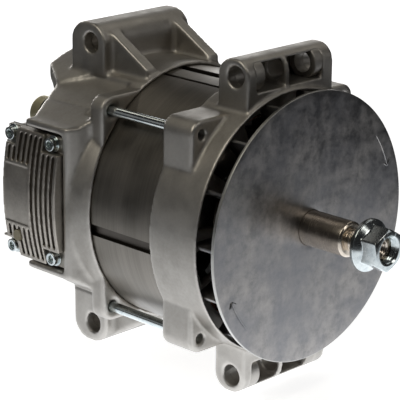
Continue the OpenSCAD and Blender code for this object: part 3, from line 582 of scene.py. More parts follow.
def rounded(points: Sequence[Sequence[float]], radius: float, steps: int = 3) -> np.ndarray:
    """Rounds the inner corners of an open polyline.

    Each corner P between A and B is replaced by the curve
    (1-t)^2 Pa + 2t(1-t) P + t^2 Pb, where Pa and Pb lie on the legs at the radius from P,
    or at 0.45 of a shorter leg.

    Args:
        points: Corners of the polyline.
        radius: Distance from a corner where its curve starts.
        steps: Number of pieces of each curve.

    Returns:
        The rounded polyline.
    """
    p = np.asarray(points, float)
    before, after = p[:-2] - p[1:-1], p[2:] - p[1:-1]
    la = np.linalg.norm(before, axis=1, keepdims=True)
    lb = np.linalg.norm(after, axis=1, keepdims=True)
    pa = p[1:-1] + before / la * np.minimum(radius, 0.45 * la)
    pb = p[1:-1] + after / lb * np.minimum(radius, 0.45 * lb)
    t = np.linspace(0.0, 1.0, steps + 1)[None, :, None]
    curve = (1 - t) ** 2 * pa[:, None] + 2 * t * (1 - t) * p[1:-1, None] + t**2 * pb[:, None]
    return np.vstack([p[:1], curve.reshape(-1, p.shape[1]), p[-1:]])


@dataclass
class Thread:
    """A screw thread cut into a turned surface.

    The radius loses depth * |2 frac(y / pitch - angle / 360) - 1| between the two places.
    """

    pitch: float
    depth: float
    start: float
    end: float
    fade: float = 1.0

    def cut(self, y: np.ndarray, angle: np.ndarray) -> np.ndarray:
        """Depth of the thread at each point.

        Args:
            y: Places along the axis in millimetres.
            angle: Angles round the axis in radians.

        Returns:
            The depth to take off the radius.
        """
        phase = y / self.pitch - angle / (2 * np.pi)
        ridge = np.abs(2.0 * (phase - np.floor(phase)) - 1.0)
        on = smooth_step(self.start, self.start + self.fade, y)
        off = 1.0 - smooth_step(self.end - self.fade, self.end, y)
        return self.depth * ridge * on * off


class Sheet:
    """Closed pieces made of point grids, joined into one mesh."""

    def __init__(self) -> None:
        """Starts with no points."""
        self.points: list[np.ndarray] = []
        self.faces: list[list[int]] = []
        self.count = 0

    def grid(self, points: np.ndarray, wrap: bool = True, loop: bool = False,
             caps: bool = True) -> None:
        """Adds one grid of points, with quads between neighbours.

        Args:
            points: Array of rows by columns by 3, in millimetres.
            wrap: Whether the last column joins the first.
            loop: Whether the last row joins the first.
            caps: Whether the first and the last row are closed by a face.
        """
        rows, cols = points.shape[:2]
        index = np.arange(rows * cols).reshape(rows, cols) + self.count
        down = np.vstack([index, index[:1]]) if loop else index
        wide = np.hstack([down, down[:, :1]]) if wrap else down
        quads = np.stack([wide[:-1, :-1], wide[:-1, 1:], wide[1:, 1:], wide[1:, :-1]], -1)
        self.faces += quads.reshape(-1, 4).tolist()
        if caps and not loop:
            self.faces += [index[0].tolist(), index[-1][::-1].tolist()]
        self.points.append(points.reshape(-1, 3) * MM)
        self.count += rows * cols

    def turned(self, profile: np.ndarray, sides: int = 128, loop: bool = False,
               thread: Thread | None = None, centre: Sequence[float] = (0.0, 0.0)) -> None:
        """Adds a turned surface: (r cos a, y, r sin a) for every profile point and angle a.

        Args:
            profile: Rows of radius and y in millimetres.
            sides: Number of angles.
            loop: Whether the profile is closed.
            thread: Thread to cut, or None.
            centre: X and Z of the axis in millimetres.
        """
        angle = np.arange(sides) * 2 * np.pi / sides
        r = np.repeat(profile[:, :1], sides, 1)
        y = np.repeat(profile[:, 1:2], sides, 1)
        if thread is not None:
            r = r - thread.cut(y, angle[None, :])
        grid = np.stack([r * np.cos(angle) + centre[0], y, r * np.sin(angle) + centre[1]], -1)
        self.grid(grid, loop=loop)

    def piece(self, name: str, body: Body, slot: str, finishes: Finishes,
              nodes: Sequence[str] = (), sharp: float = 38.0) -> bpy.types.Object:
        """Makes the object, closes it, points its faces outwards and puts it on its body.

        Args:
            name: Name of the piece.
            body: Body that it rides on.
            slot: Slot of the finish.
            finishes: The finishes of the alternator.
            nodes: Solids that it stands for.
            sharp: Angle in degrees past which an edge stays sharp.

        Returns:
            The new object.
        """
        mesh = bpy.data.meshes.new(name)
        mesh.from_pydata(np.vstack(self.points).tolist(), [], self.faces)
        work = bmesh.new()
        work.from_mesh(mesh)
        bmesh.ops.remove_doubles(work, verts=work.verts, dist=1e-7)
        bmesh.ops.recalc_face_normals(work, faces=work.faces)
        work.to_mesh(mesh)
        work.free()
        return settle(mesh, name, body, slot, finishes, nodes, sharp)


def settle(mesh: bpy.types.Mesh, name: str, body: Body, slot: str, finishes: Finishes,
           nodes: Sequence[str], sharp: float) -> bpy.types.Object:
    """Turns a finished mesh into a piece of the alternator.

    Args:
        mesh: The mesh, in metres, in its place.
        name: Name of the piece.
        body: Body that it rides on.
        slot: Slot of the finish.
        finishes: The finishes of the alternator.
        nodes: Solids that it stands for.
        sharp: Angle in degrees past which an edge stays sharp.

    Returns:
        The new object.
    """
    mesh.polygons.foreach_set("use_smooth", np.ones(len(mesh.polygons), bool))
    mesh.set_sharp_from_angle(angle=math.radians(sharp))
    piece = bpy.data.objects.new(name, mesh)
    bpy.context.scene.collection.objects.link(piece)
    finishes.dress(piece, slot)
    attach(piece, body.value)
    if nodes:
        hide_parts(*nodes)
    log.info("%s: %d points, rides on %s", name, len(mesh.vertices), body.value)
    return piece


def neighbours_mean(edges: np.ndarray, count: np.ndarray, values: np.ndarray) -> np.ndarray:
    """Mean of each point's neighbours: the sum over its edges divided by their number.

    Args:
        edges: Pairs of point numbers.
        count: Number of edges at each point.
        values: One row of values per point.

    Returns:
        The mean values, one row per point.
    """
    size = len(values)
    total = np.empty_like(values)
    for k in range(values.shape[1]):
        total[:, k] = (np.bincount(edges[:, 0], values[edges[:, 1], k], size)
                       + np.bincount(edges[:, 1], values[edges[:, 0], k], size))
    return total / np.maximum(count, 1)[:, None]


@dataclass
class Recasting:
    """Makes a solid again with cast radii on all of its edges.

    The solid is filled with small cubes, its skin is taken from them, and each point moves
    half way to the mean of its neighbours a number of times. A point attribute holds how
    far a point stands out from its neighbours, in cube sizes, so that a finish can paint
    pale edges, partly as wear and partly as a painted highlight.
    """

    node: str
    name: str
    slot: str
    body: Body = Body.HOUSING
    cube: float = 1.35
    passes: int = 3

    def skin(self) -> bpy.types.Mesh:
        """The skin of the filled solid.

        Returns:
            A new mesh in the place of the solid.
        """
        source = bpy.data.objects[self.node]
        mesh = source.data.copy()
        work = bmesh.new()
        work.from_mesh(mesh)
        bmesh.ops.remove_doubles(work, verts=work.verts, dist=2e-6)
        work.to_mesh(mesh)
        work.free()
        holder = bpy.data.objects.new(self.name + "_solid", mesh)
        bpy.context.scene.collection.objects.link(holder)
        fill = holder.modifiers.new("fill", "REMESH")
        fill.mode = "VOXEL"
        fill.voxel_size = self.cube * MM
        fill.use_smooth_shade = True
        bpy.context.view_layer.update()
        shape = holder.evaluated_get(bpy.context.evaluated_depsgraph_get())
        result = bpy.data.meshes.new_from_object(shape)
        bpy.data.objects.remove(holder)
        bpy.data.meshes.remove(mesh)
        return result

    def build(self, finishes: Finishes) -> bpy.types.Object:
        """Builds the piece in place of its solid.

        Args:
            finishes: The finishes of the alternator.

        Returns:
            The new object.
        """
        mesh = self.skin()
        size = len(mesh.vertices)
        points = np.empty(size * 3)
        mesh.vertices.foreach_get("co", points)
        points = points.reshape(-1, 3)
        edges = np.empty(len(mesh.edges) * 2, np.int64)
        mesh.edges.foreach_get("vertices", edges)
        edges = edges.reshape(-1, 2)
        count = np.bincount(edges.ravel(), minlength=size)
        for _ in range(self.passes):
            points += 0.5 * (neighbours_mean(edges, count, points) - points)
        mesh.vertices.foreach_set("co", points.ravel())
        mesh.update()
        normal = np.empty(size * 3)
        mesh.vertices.foreach_get("normal", normal)
        pull = points - neighbours_mean(edges, count, points)
        stand = np.einsum("ij,ij->i", normal.reshape(-1, 3), pull) / (self.cube * MM) * 6.0
        for _ in range(2):
            stand += 0.5 * (neighbours_mean(edges, count, stand[:, None])[:, 0] - stand)
        # How far each point stands out, read by the finish for its pale edges, which are partly wear
        # and partly a painted highlight.
        edge_wear_and_highlight = mesh.attributes.new("edge_wear_and_highlight", "FLOAT", "POINT")
        edge_wear_and_highlight.data.foreach_set("value", stand.astype(np.float32))
        return settle(mesh, self.name, self.body, self.slot, finishes, [self.node], 180.0)


# Sub-assemblies


@dataclass
class Castings:
    """The two housings and the regulator block, made again with cast radii."""

    front: Recasting = field(default_factory=lambda: Recasting(
        "drive_end_housing", "front_casting", "cast_housing", cube=1.1, passes=2))
    rear: Recasting = field(default_factory=lambda: Recasting(
        "rear_housing", "rear_casting", "cast_housing", cube=1.3, passes=2))
    block: Recasting = field(default_factory=lambda: Recasting(
        "regulator", "regulator_block", "regulator_cast", cube=0.5, passes=2))

    def build(self, finishes: Finishes) -> None:
        """Builds the three castings.

        Args:
            finishes: The finishes of the alternator.
        """
        self.front.build(finishes)
        self.rear.build(finishes)
        self.block.build(finishes)


@dataclass
class LugSleeves:
    """Cast rings round the lug bores, on the inner sides of the outer lug walls."""

    bore_r: float = 6.6
    height: float = 95.25
    left: tuple[float, float] = (-30.9, -22.6)
    right: tuple[float, float] = (28.9, 21.6)
    front: tuple[float, float] = (29.5, 10.6)
    rear: tuple[float, float] = (156.5, 11.0)

    def ring(self, sheet: Sheet, ends: tuple[float, float], y: float, z: float,
             outer: float) -> None:
        """Adds a ring turned about an axis along X: (x, y + r cos a, z + r sin a).

        Args:
            sheet: Sheet to add to.
            ends: The two ends of the ring along X, the one in the wall first.
            y: Place of the bore along the shaft.
            z: Height of the bore.
            outer: Outer radius of the ring.
        """
        profile = rounded([[self.bore_r + 0.1, ends[0]], [outer, ends[0]], [outer, ends[1]],
                           [self.bore_r, ends[1]]], 0.9, 4)
        a = np.arange(64) * 2 * np.pi / 64
        r, x = profile[:, :1] + 0 * a, profile[:, 1:] + 0 * a
        sheet.grid(np.stack([x, y + r * np.cos(a), z + r * np.sin(a)], -1), loop=True)

    def build(self, finishes: Finishes) -> None:
        """Builds the rings of all eight outer walls.

        Args:
            finishes: The finishes of the alternator.
        """
        sheet = Sheet()
        for y, outer in (self.front, self.rear):
            for z in (self.height, -self.height):
                self.ring(sheet, self.left, y, z, outer)
                self.ring(sheet, self.right, y, z, outer)
        sheet.piece("lug_sleeves", Body.HOUSING, "cast_housing", finishes)


@dataclass
class FanWheel:
    """Cast fan: a flat disc with a rounded rim, straight blades behind it and a hub."""

    disc_r: float = 85.3
    disc_t: float = 2.2
    bore_r: float = 11.15
    hub_r: float = 19.0
    hub_t: float = 7.0
    blades: int = 15
    first_blade: float = 106.5
    blade_t: float = 2.4
    blade_h: float = 21.0
    blade_in_r: float = 42.0
    blade_out_r: float = 81.6
    blade_sink: float = 0.5
    blade_step: float = 5.0
    blade_slope: float = 14.0
    blade_round: float = 1.6
    mark_r: float = 76.0
    mark_w: float = 1.1
    barb_len: float = 4.6
    barb_turn: float = 38.0
    arrows: tuple[tuple[float, float, float], ...] = ((38.5, 19.0, 0.5), (-138.0, -156.0, 0.8))

    def disc(self, sheet: Sheet) -> None:
        """Adds the disc and its hub as one turned ring.

        Args:
            sheet: Sheet to add to.
        """
        r, t = self.disc_r, self.disc_t
        corners = [[self.bore_r, 3.5], [self.bore_r, 0.0], [r, 0.0], [r, t],
                   [self.hub_r, t], [self.hub_r, self.hub_t], [self.bore_r, self.hub_t],
                   [self.bore_r, 3.6]]
        sheet.turned(resample(rounded(corners, 0.45), 4.0), 256, loop=True)

    def blade_outline(self) -> np.ndarray:
        """Outline of a blade, rounded and open, so that no point repeats.

        Returns:
            Rows of radius and y.
        """
        top = self.disc_t + self.blade_h
        low = self.disc_t - self.blade_sink
        start = self.blade_in_r + self.blade_step
        corners = [[start, low], [self.blade_in_r, low],
                   [self.blade_in_r, self.disc_t + self.blade_step],
                   [self.blade_in_r + self.blade_slope, top],
                   [self.blade_out_r, top], [self.blade_out_r, low], [start + 1.0, low]]
        return resample(rounded(corners, self.blade_round), 4.0)

    def add_blades(self, sheet: Sheet) -> None:
        """Adds the blades.

        A blade is its outline carried through its thickness: at share s of the thickness
        the outline moves inwards by e (1 - sqrt(1 - (|2s - 1|)^4)), which rounds its edges.

        Args:
            sheet: Sheet to add to.
        """
        outline = self.blade_outline()
        tangent = np.roll(outline, -1, 0) - np.roll(outline, 1, 0)
        inward = np.stack([tangent[:, 1], -tangent[:, 0]], 1)
        inward /= np.maximum(np.linalg.norm(inward, axis=1, keepdims=True), 1e-9)
        middle = outline.mean(0)
        inward *= np.sign(np.sum(inward * (middle - outline), 1).mean())
        s = np.linspace(-1.0, 1.0, 9)
        inset = 0.7 * (1.0 - np.sqrt(1.0 - np.minimum(np.abs(s), 1.0) ** 4))
        layer = outline[None] + inward[None] * inset[:, None, None]
        side = np.repeat((s * self.blade_t / 2)[:, None], len(outline), 1)
        for k in range(self.blades):
            a = math.radians(self.first_blade + k * 360 / self.blades)
            x = layer[..., 0] * math.cos(a) - side * math.sin(a)
            z = layer[..., 0] * math.sin(a) + side * math.cos(a)
            sheet.grid(np.stack([x, layer[..., 1], z], -1))

    def ridge(self, sheet: Sheet, path: np.ndarray, width: float, height: float) -> None:
        """Adds a raised line on the disc face.

        The cross-section is a half ellipse, (w/2 cos b, h sin b), carried along the path,
        and both ends taper by sqrt(1 - u^2) over the last stretch.

        Args:
            sheet: Sheet to add to.
            path: Points of the line as X and Z.
            width: Width of the line.
            height: Height above the disc face.
        """
        tangent = np.gradient(path, axis=0)
        tangent /= np.linalg.norm(tangent, axis=1, keepdims=True)
        across = np.stack([-tangent[:, 1], tangent[:, 0]], 1)
        u = np.linspace(-1.0, 1.0, len(path))
        taper = np.clip(np.sqrt(np.clip(1.0 - np.abs(u) ** 8, 0.0, 1.0)), 0.15, 1.0)
        b = np.linspace(0.0, 2 * np.pi, 12, endpoint=False)
        offset = width / 2 * np.cos(b)[None, :] * taper[:, None]
        rise = np.where(np.sin(b) > 0, height, 0.15)[None, :] * np.sin(b)[None, :]
        x = path[:, :1] + across[:, :1] * offset
        z = path[:, 1:] + across[:, 1:] * offset
        sheet.grid(np.stack([x, -rise * taper[:, None], z], -1))

    def arrow(self, sheet: Sheet, start: float, end: float, height: float) -> None:
        """Adds a plain rotation arrow, an arc with two short strokes at its end.

        Args:
            sheet: Sheet to add to.
            start: Angle of the tail in degrees.
            end: Angle of the tip in degrees.
            height: Height above the disc face.
        """
        a = np.radians(np.linspace(start, end, 28))
        arc = self.mark_r * np.stack([np.cos(a), np.sin(a)], 1)
        self.ridge(sheet, arc, self.mark_w, height)
        tip = arc[-1]
        back = arc[-2] - arc[-1]
        back /= np.linalg.norm(back)
        for turn in (-self.barb_turn, self.barb_turn):
            c, s = math.cos(math.radians(turn)), math.sin(math.radians(turn))
            way = np.array([c * back[0] - s * back[1], s * back[0] + c * back[1]])
            stroke = tip + np.linspace(0.0, self.barb_len, 8)[:, None] * way
            self.ridge(sheet, stroke, self.mark_w, height)

    def build(self, finishes: Finishes) -> None:
        """Builds the wheel and its rotation arrows.

        Args:
            finishes: The finishes of the alternator.
        """
        wheel = Sheet()
        self.disc(wheel)
        self.add_blades(wheel)
        wheel.piece("fan_wheel", Body.ROTOR, "fan_cast", finishes, ["fan"])
        marks = Sheet()
        for start, end, height in self.arrows:
            self.arrow(marks, start, end, height)
        marks.piece("rotation_arrows", Body.ROTOR, "fan_cast", finishes)


@dataclass
class ShaftEnd:
    """Rotor shaft with its thread, and the flange nut on it."""

    seat_r: float = 11.1
    shoulder_y: float = -32.8
    thread_r: float = 7.95
    thread_len: float = 23.5
    pitch: float = 1.5
    nut_y: float = -44.4
    nut_h: float = 17.2
    flats: float = 24.0
    flange_r: float = 16.25
    flange_t: float = 2.6
    flange_slope: float = 1.15
    end_slope: float = 1.9
    nut_bore_r: float = 8.0
    nut_mouth_r: float = 9.3
    nut_seat_r: float = 8.9
    seat_end: float = 27.5
    steps: tuple[tuple[float, float], ...] = (
        (12.45, 44.5), (16.0, 53.25), (13.95, 111.25), (11.0, 138.5), (9.5, 171.5),
        (11.0, 174.5), (8.45, 187.5))
    end_y: float = 188.5
    recess: tuple[float, float] = (4.0, 6.6)

    def steps_line(self) -> np.ndarray:
        """Outline of the steps behind the seat: each radius held from the last end to its own.

        Returns:
            Rows of radius and y.
        """
        radius, ends = np.array(self.steps).T
        starts = np.concatenate([[self.seat_end + 0.01], ends[:-1]])
        return np.stack([np.repeat(radius, 2), np.stack([starts, ends], 1).ravel()], 1)

    def shaft(self, finishes: Finishes) -> None:
        """Builds the whole shaft as one turned surface with a cut thread.

        Args:
            finishes: The finishes of the alternator.
        """
        tip = self.shoulder_y - self.thread_len
        r, t = self.seat_r, self.thread_r
        hole_r, hole_len = self.recess
        front = [[0.3, tip + hole_len + 1.4], [hole_r, tip + hole_len], [hole_r, tip + 0.6],
                 [hole_r + 0.7, tip], [t - 1.3, tip], [t, tip + 1.4],
                 [t, self.shoulder_y - 3.4], [t - 1.1, self.shoulder_y - 2.8],
                 [t - 1.1, self.shoulder_y], [r - 1.5, self.shoulder_y],
                 [r, self.shoulder_y + 1.4], [r, self.seat_end]]
        back = [[7.3, self.end_y], [2.8, self.end_y], [0.3, self.end_y - 2.9]]
        profile = rounded(np.vstack([front, self.steps_line(), back]), 0.3, 2)
        fine = profile[profile[:, 1] < self.shoulder_y - 2.0]
        rest = profile[profile[:, 1] >= self.shoulder_y - 2.0]
        sheet = Sheet()
        profile = np.vstack([resample(np.vstack([fine, rest[:1]]), 0.19)[:-1],
                             resample(rest, 6.0)])
        sheet.turned(profile, 96, thread=Thread(self.pitch, 0.75, tip + 0.4,
                                                self.shoulder_y - 3.2, 1.2))
        sheet.piece("shaft", Body.ROTOR, "shaft_steel", finishes, ["rotor_shaft"])

    def hexagon(self, angle: np.ndarray) -> np.ndarray:
        """Radius of a hexagon with softly rounded corners.

        The plain radius f / cos(a) is joined to the corner radius c by a smooth minimum,
        -k log(exp(-f / (k cos a)) + exp(-c / k)), where a is the angle from the flat.

        Args:
            angle: Angles in radians.

        Returns:
            The radius at each angle.
        """
        a = np.mod(angle + np.pi / 6, np.pi / 3) - np.pi / 6
        half = self.flats / 2
        k = 0.10
        plain = half / np.cos(a)
        corner = half / math.cos(math.pi / 6) - 0.12
        return -k * np.log(np.exp(-(plain - corner) / k) + 1.0) + corner

    def nut(self, finishes: Finishes) -> None:
        """Builds the flange nut.

        At each place y the outside is min(max(hexagon, flange cone), end cone), and the
        bore shows its thread past the end of the shaft.

        Args:
            finishes: The finishes of the alternator.
        """
        y1, y0 = self.nut_y, self.nut_y - self.nut_h
        sides = 192
        angle = np.arange(sides) * 2 * np.pi / sides
        face = y1 - self.flange_t
        rim = rounded([[self.nut_seat_r, y1], [self.flange_r, y1], [self.flange_r, face],
                       [self.flange_r - 0.6, face - 0.35]], 0.5, 4)
        y = np.linspace(face - 0.4, y0, 60)
        cone = self.flange_r - 0.62 - (face - 0.4 - y) * self.flange_slope
        end = self.flats / 2 - 0.5 + (y - y0) * self.end_slope
        hexa = self.hexagon(angle)[None, :]
        k = 0.22
        grow = k * np.log(np.exp((hexa - cone[:, None]) / k) + 1.0) + cone[:, None]
        side = -k * np.log(np.exp((end[:, None] - grow) / k) + 1.0) + end[:, None]
        side[-1] = np.minimum(side[-1], self.flats / 2 - 0.55)
        bore_r = self.nut_bore_r
        bore = np.array([[self.nut_mouth_r, y0], [bore_r, y0 + 1.3], [bore_r, y1 - 0.9],
                         [self.nut_seat_r, y1]])
        bore = resample(bore, 0.19)
        thread = Thread(self.pitch, -0.7, y0 + 0.9, y0 + 5.2, 0.6)
        rows_r = [np.repeat(rim[:, :1], sides, 1), side, np.repeat(bore[:, :1], sides, 1)]
        rows_y = [rim[:, 1], y, bore[:, 1]]
        r, yy = np.vstack(rows_r), np.concatenate(rows_y)[:, None].repeat(sides, 1)
        inner = np.arange(len(r)) >= len(rim) + len(y)
        r = np.where(inner[:, None], r + thread.cut(yy, angle[None, :]), r)
        sheet = Sheet()
        sheet.grid(np.stack([r * np.cos(angle), yy, r * np.sin(angle)], -1)[:-1], loop=True)
        sheet.piece("flange_nut", Body.ROTOR, "zinc_steel", finishes, ["pulley_nut"], 32.0)

    def build(self, finishes: Finishes) -> None:
        """Builds the shaft and the nut.

        Args:
            finishes: The finishes of the alternator.
        """
        self.shaft(finishes)
        self.nut(finishes)


@dataclass
class RegulatorTrim:
    """Screws with washers on the corner pads of the regulator."""

    pad_x: float = -85.1
    screw_y: tuple[float, float] = (138.7, 176.7)
    screw_z: tuple[float, float] = (-33.5, 41.5)
    washer_r: float = 5.4
    washer_t: float = 1.1
    hole_r: float = 2.6
    head_r: float = 4.3
    head_h: float = 3.8
    socket: float = 4.4
    shank_r: float = 2.45
    shank_len: float = 12.0

    def around(self, sheet: Sheet, r: np.ndarray, h: np.ndarray, y: float, z: float,
               loop: bool = False) -> None:
        """Adds a surface about an axis along X: (pad - h, y + r cos a, z + r sin a).

        Args:
            sheet: Sheet to add to.
            r: Radii, one row for each height.
            h: Heights off the pad, in the same rows.
            y: Place along the shaft.
            z: Height.
            loop: Whether the last row joins the first.
        """
        a = np.arange(r.shape[1]) * 2 * np.pi / r.shape[1]
        sheet.grid(np.stack([self.pad_x - h, y + r * np.cos(a), z + r * np.sin(a)], -1), loop=loop)

    def screw(self, sheet: Sheet, y: float, z: float) -> None:
        """Adds a socket screw on its washer, turned about an axis along X.

        Args:
            sheet: Sheet to add to.
            y: Place along the shaft.
            z: Height.
        """
        washer = rounded([[self.hole_r, 0.0], [self.washer_r, 0.0],
                          [self.washer_r, self.washer_t], [self.hole_r, self.washer_t]], 0.35, 3)
        top = self.washer_t + self.head_h
        head = rounded([[0.4, 0.4], [self.head_r, 1.0], [self.head_r, top],
                        [self.socket / 2 + 0.55, top]], 0.6, 4)
        angle = np.arange(48) * 2 * np.pi / 48
        a = np.mod(angle + np.pi / 6, np.pi / 3) - np.pi / 6
        hexa = self.socket / 2 / np.cos(a)
        ones = np.ones_like(angle)
        rows = [(r * ones, h) for r, h in head]
        rows += [(hexa + 0.12, top - 0.15), (hexa, top - 0.4), (hexa, top - 2.4),
                 (0.3 * hexa, top - 2.9)]
        r = np.stack([row[0] for row in rows])
        h = np.array([row[1] for row in rows])[:, None] * ones
        self.around(sheet, r, h, y, z)
        self.around(sheet, washer[:, :1] * ones, washer[:, 1:] * ones, y, z, loop=True)
        shank = rounded([[0.2, 0.5], [self.shank_r, 0.5], [self.shank_r, -self.shank_len],
                         [0.2, -self.shank_len]], 0.4, 2)
        self.around(sheet, shank[:, :1] * ones, shank[:, 1:] * ones, y, z)

    def build(self, finishes: Finishes) -> None:
        """Builds the four screws.

        Args:
            finishes: The finishes of the alternator.
        """
        sheet = Sheet()
        for y in self.screw_y:
            for z in self.screw_z:
                self.screw(sheet, y, z)
        sheet.piece("regulator_socket_screws", Body.HOUSING, "zinc_steel", finishes,
                    ["regulator_screws"], 30.0)


@dataclass
class OutputPost:
    """The plated output post on the rear face, with a rounded shoulder and a screw hole."""

    x: float = -50.0
    z: float = 46.0
    r: float = 10.5
    y0: float = 181.5
    y1: float = 191.5
    hole_r: float = 3.3
    hole_len: float = 7.0
    stem_r: float = 3.9
    foot: tuple[float, float, float] = (8.0, 165.5, 168.5)
    stem_end: float = 162.5

    def build(self, finishes: Finishes) -> None:
        """Builds the post as one turned surface with a plain hole.

        Args:
            finishes: The finishes of the alternator.
        """
        floor = self.y1 - self.hole_len
        foot_r, foot_end, foot_start = self.foot
        line = [[0.3, floor], [self.hole_r, floor + 0.4], [self.hole_r, self.y1 - 0.6],
                [self.hole_r + 0.6, self.y1], [self.r, self.y1], [self.r, self.y0],
                [self.stem_r, self.y0], [self.stem_r, foot_start], [foot_r, foot_start],
                [foot_r, foot_end], [self.stem_r, foot_end], [self.stem_r, self.stem_end],
                [0.3, self.stem_end]]
        sheet = Sheet()
        profile = resample(rounded(line, 1.1, 4), 0.4)
        sheet.turned(profile, 64, centre=(self.x, self.z))
        sheet.piece("output_post", Body.HOUSING, "terminal_plate", finishes,
                    ["output_terminal"], 35.0)


class CarriedNodes:
    """Solids whose shape stays, each with the finish that the record gives it."""

    def build(self, frame: dict[str, Any], finishes: Finishes) -> None:
        """Dresses every solid that still shows.

        Args:
            finishes: The finishes of the alternator.
        """
        slots = {p["node"]: p["material_slot"] for p in frame["record"]["subparts"]}
        for name, node in frame["nodes"].items():
            if node.hide_render:
                continue
            finishes.dress(node, slots[name])
            log.info("%s: keeps its solid, finish %s", name, slots[name])


# Camera and studio


@dataclass
class PhotoCamera:
    """The camera at the place that fits the photograph, aimed at a point on the part."""

    azimuth: float = -45.5550
    elevation: float = 17.4387
    roll: float = 0.5389
    distance: float = 1187.310
    focal_px: float = 1896.876
    target: tuple[float, float, float] = (-23.936, 71.5, 6.596)

    def build(self) -> None:
        """Makes the camera."""
        a, e, r = (math.radians(v) for v in (self.azimuth, self.elevation, self.roll))
        back = Vector((math.sin(a) * math.cos(e), -math.cos(a) * math.cos(e), math.sin(e)))
        right = Vector((math.cos(a), math.sin(a), 0.0))
        up = back.cross(right)
        side = right * math.cos(r) + up * math.sin(r)
        top = up * math.cos(r) - right * math.sin(r)
        eye = (Vector(self.target) + back * self.distance) * MM
        data = bpy.data.cameras.new("photo_camera")
        data.sensor_width = 36.0
        data.lens = self.focal_px / 400.0 * 36.0
        data.clip_end = 50.0
        camera = bpy.data.objects.new("photo_camera", data)
        bpy.context.scene.collection.objects.link(camera)
        turn = Matrix((side, top, back)).transposed().to_4x4()
        camera.matrix_world = Matrix.Translation(eye) @ turn
        bpy.context.scene.camera = camera


@dataclass
class Lamp:
    """A soft box: a rectangular lamp aimed at the middle of the part."""

    name: str
    place: tuple[float, float, float]
    size: tuple[float, float]
    power: float
    colour: Colour = (1.0, 1.0, 1.0)

    def build(self, aim: Vector) -> None:
        """Makes the lamp.

        Args:
            aim: Point that it faces.
        """
        data = bpy.data.lights.new(self.name, "AREA")
        data.shape = "RECTANGLE"
        data.size, data.size_y = self.size
        data.energy = self.power
        data.color = self.colour
        lamp = bpy.data.objects.new(self.name, data)
        bpy.context.scene.collection.objects.link(lamp)
        way = (aim - Vector(self.place)).to_track_quat("-Z", "Y")
        lamp.matrix_world = Matrix.Translation(Vector(self.place)) @ way.to_matrix().to_4x4()


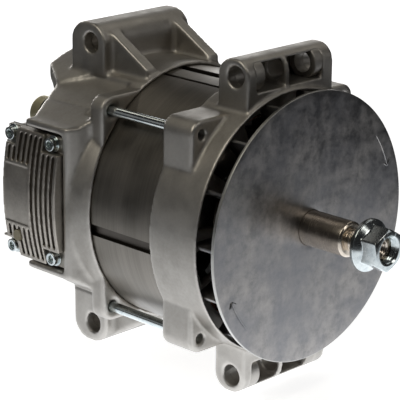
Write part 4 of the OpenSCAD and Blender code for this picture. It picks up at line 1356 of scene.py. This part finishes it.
@dataclass
class Studio:
    """White table in a dim room with soft boxes round it."""

    floor_z: float = -0.1083
    floor_r: float = 6.0
    centre_y: float = 0.05
    near_r: tuple[float, float] = (0.08, 0.20)
    chalk: float = 0.8
    pool_r: tuple[float, float] = (0.355, 0.48)
    pool_light: tuple[float, float] = (1.06, 0.05)
    pool_colour: Colour = (0.965, 1.0, 1.05)
    near_light: float = 0.54
    seen: float = 0.80
    room: Colour = (0.020, 0.020, 0.021)
    lamps: list[Lamp] = field(default_factory=lambda: [
        Lamp("top_left_box", (-0.9, 0.1, 1.2), (0.8, 0.8), 5.6, (1.0, 0.96, 0.85)),
        Lamp("top_right_box", (0.9, 0.1, 1.2), (0.8, 0.8), 1.38, (1.0, 0.97, 0.90)),
        Lamp("top_front_box", (0.1, -1.0, 1.2), (0.5, 0.5), 2.1, (1.0, 0.97, 0.92)),
        Lamp("back_low_box", (0.4, 1.5, 0.35), (0.6, 0.4), 4.6),
        Lamp("back_right_box", (1.1, 1.1, 0.5), (0.6, 0.6), 2.4),
        Lamp("back_strip", (0.0, 1.15, 1.1), (0.5, 0.16), 0.36, (1.0, 0.95, 0.84)),
        Lamp("front_right_box", (1.1, -1.2, 0.6), (0.6, 0.6), 0.8),
        Lamp("left_box", (-1.5, 0.1, 0.45), (0.6, 0.8), 0.14),
        Lamp("left_back_box", (-1.0, 1.2, 0.4), (0.6, 0.6), 0.24),
    ])

    def floor(self) -> None:
        """Makes the table: a flat disc, r cos a and r sin a on a grid of rings."""
        a = np.arange(64) * 2 * np.pi / 64
        r = np.array([0.01, 0.5, 1.5, self.floor_r])[:, None]
        grid = np.stack([r * np.cos(a), r * np.sin(a) + 0.07, 0 * r * a + self.floor_z], -1)
        index = np.arange(grid.shape[0] * 64).reshape(-1, 64)
        wide = np.hstack([index, index[:, :1]])
        quads = np.stack([wide[:-1, :-1], wide[1:, :-1], wide[1:, 1:], wide[:-1, 1:]], -1)
        mesh = bpy.data.meshes.new("table")
        mesh.from_pydata(grid.reshape(-1, 3).tolist(), [],
                         quads.reshape(-1, 4).tolist() + [index[0].tolist()])
        table = bpy.data.objects.new("table", mesh)
        bpy.context.scene.collection.objects.link(table)
        mesh.materials.append(self.table_paint())

    def table_paint(self) -> bpy.types.Material:
        """White for the eye, and for the metal a pool of light with a soft edge.

        Returns:
            The material.
        """
        r = Recipe("table_paint")
        nodes = r.tree.nodes
        path = r.add("ShaderNodeLightPath")
        spread = r.math("ADD", r.math("POWER", r.axis("X"), 2.0),
                        r.math("POWER", r.math("SUBTRACT", r.axis("Y"), self.centre_y), 2.0))
        away = r.math("SQRT", spread)
        near = r.ramp(away, *self.near_r, (self.near_light, 0.0))
        pool = r.math("ADD", r.ramp(away, *self.pool_r, self.pool_light), near)
        seen = r.math("MULTIPLY", path.outputs["Is Camera Ray"], self.seen)
        mirrored = r.math("MULTIPLY", path.outputs["Is Glossy Ray"], pool)
        through = r.math("MULTIPLY", path.outputs["Is Transmission Ray"], pool)
        glow = r.add("ShaderNodeEmission")
        tone = r.blend(path.outputs["Is Camera Ray"], self.pool_colour, (1.0, 1.0, 1.0))
        r.wire(tone, glow.inputs["Color"])
        r.wire(r.math("ADD", seen, r.math("MAXIMUM", mirrored, through)),
               glow.inputs["Strength"])
        chalk = r.add("ShaderNodeBsdfDiffuse")
        matt = r.math("MULTIPLY", r.math("SUBTRACT", 1.0, path.outputs["Is Glossy Ray"]),
                      self.chalk)
        r.wire(matt, chalk.inputs["Color"])
        both = r.add("ShaderNodeAddShader")
        r.wire(glow.outputs[0], both.inputs[0])
        r.wire(chalk.outputs[0], both.inputs[1])
        r.wire(both.outputs[0], nodes["Material Output"].inputs["Surface"])
        nodes.remove(r.shader)
        return r.material

    def world(self) -> None:
        """A dim even room, white where the camera looks past the table."""
        world = bpy.data.worlds.new("room")
        bpy.context.scene.world = world
        world.use_nodes = True
        tree = world.node_tree
        ground = tree.nodes["Background"]
        ground.inputs["Color"].default_value = (*self.room, 1.0)
        white = tree.nodes.new("ShaderNodeBackground")
        white.inputs["Color"].default_value = (1.0, 1.0, 1.0, 1.0)
        path = tree.nodes.new("ShaderNodeLightPath")
        mix = tree.nodes.new("ShaderNodeMixShader")
        tree.links.new(path.outputs["Is Camera Ray"], mix.inputs[0])
        tree.links.new(ground.outputs[0], mix.inputs[1])
        tree.links.new(white.outputs[0], mix.inputs[2])
        tree.links.new(mix.outputs[0], tree.nodes["World Output"].inputs["Surface"])

    def build(self) -> None:
        """Makes the room, the table and the lamps."""
        self.world()
        self.floor()
        for lamp in self.lamps:
            lamp.build(Vector((0.0, 0.06, 0.0)))
        bpy.context.scene.view_settings.view_transform = "Standard"


def main() -> None:
    logging.basicConfig(level=logging.INFO, format="%(name)s: %(message)s")
    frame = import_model()
    PhotoCamera().build()
    Studio().build()
    finishes = Finishes()
    Castings().build(finishes)
    LugSleeves().build(finishes)
    FanWheel().build(finishes)
    ShaftEnd().build(finishes)
    RegulatorTrim().build(finishes)
    OutputPost().build(finishes)
    CarriedNodes().build(frame, finishes)


if __name__ == "__main__":
    main()
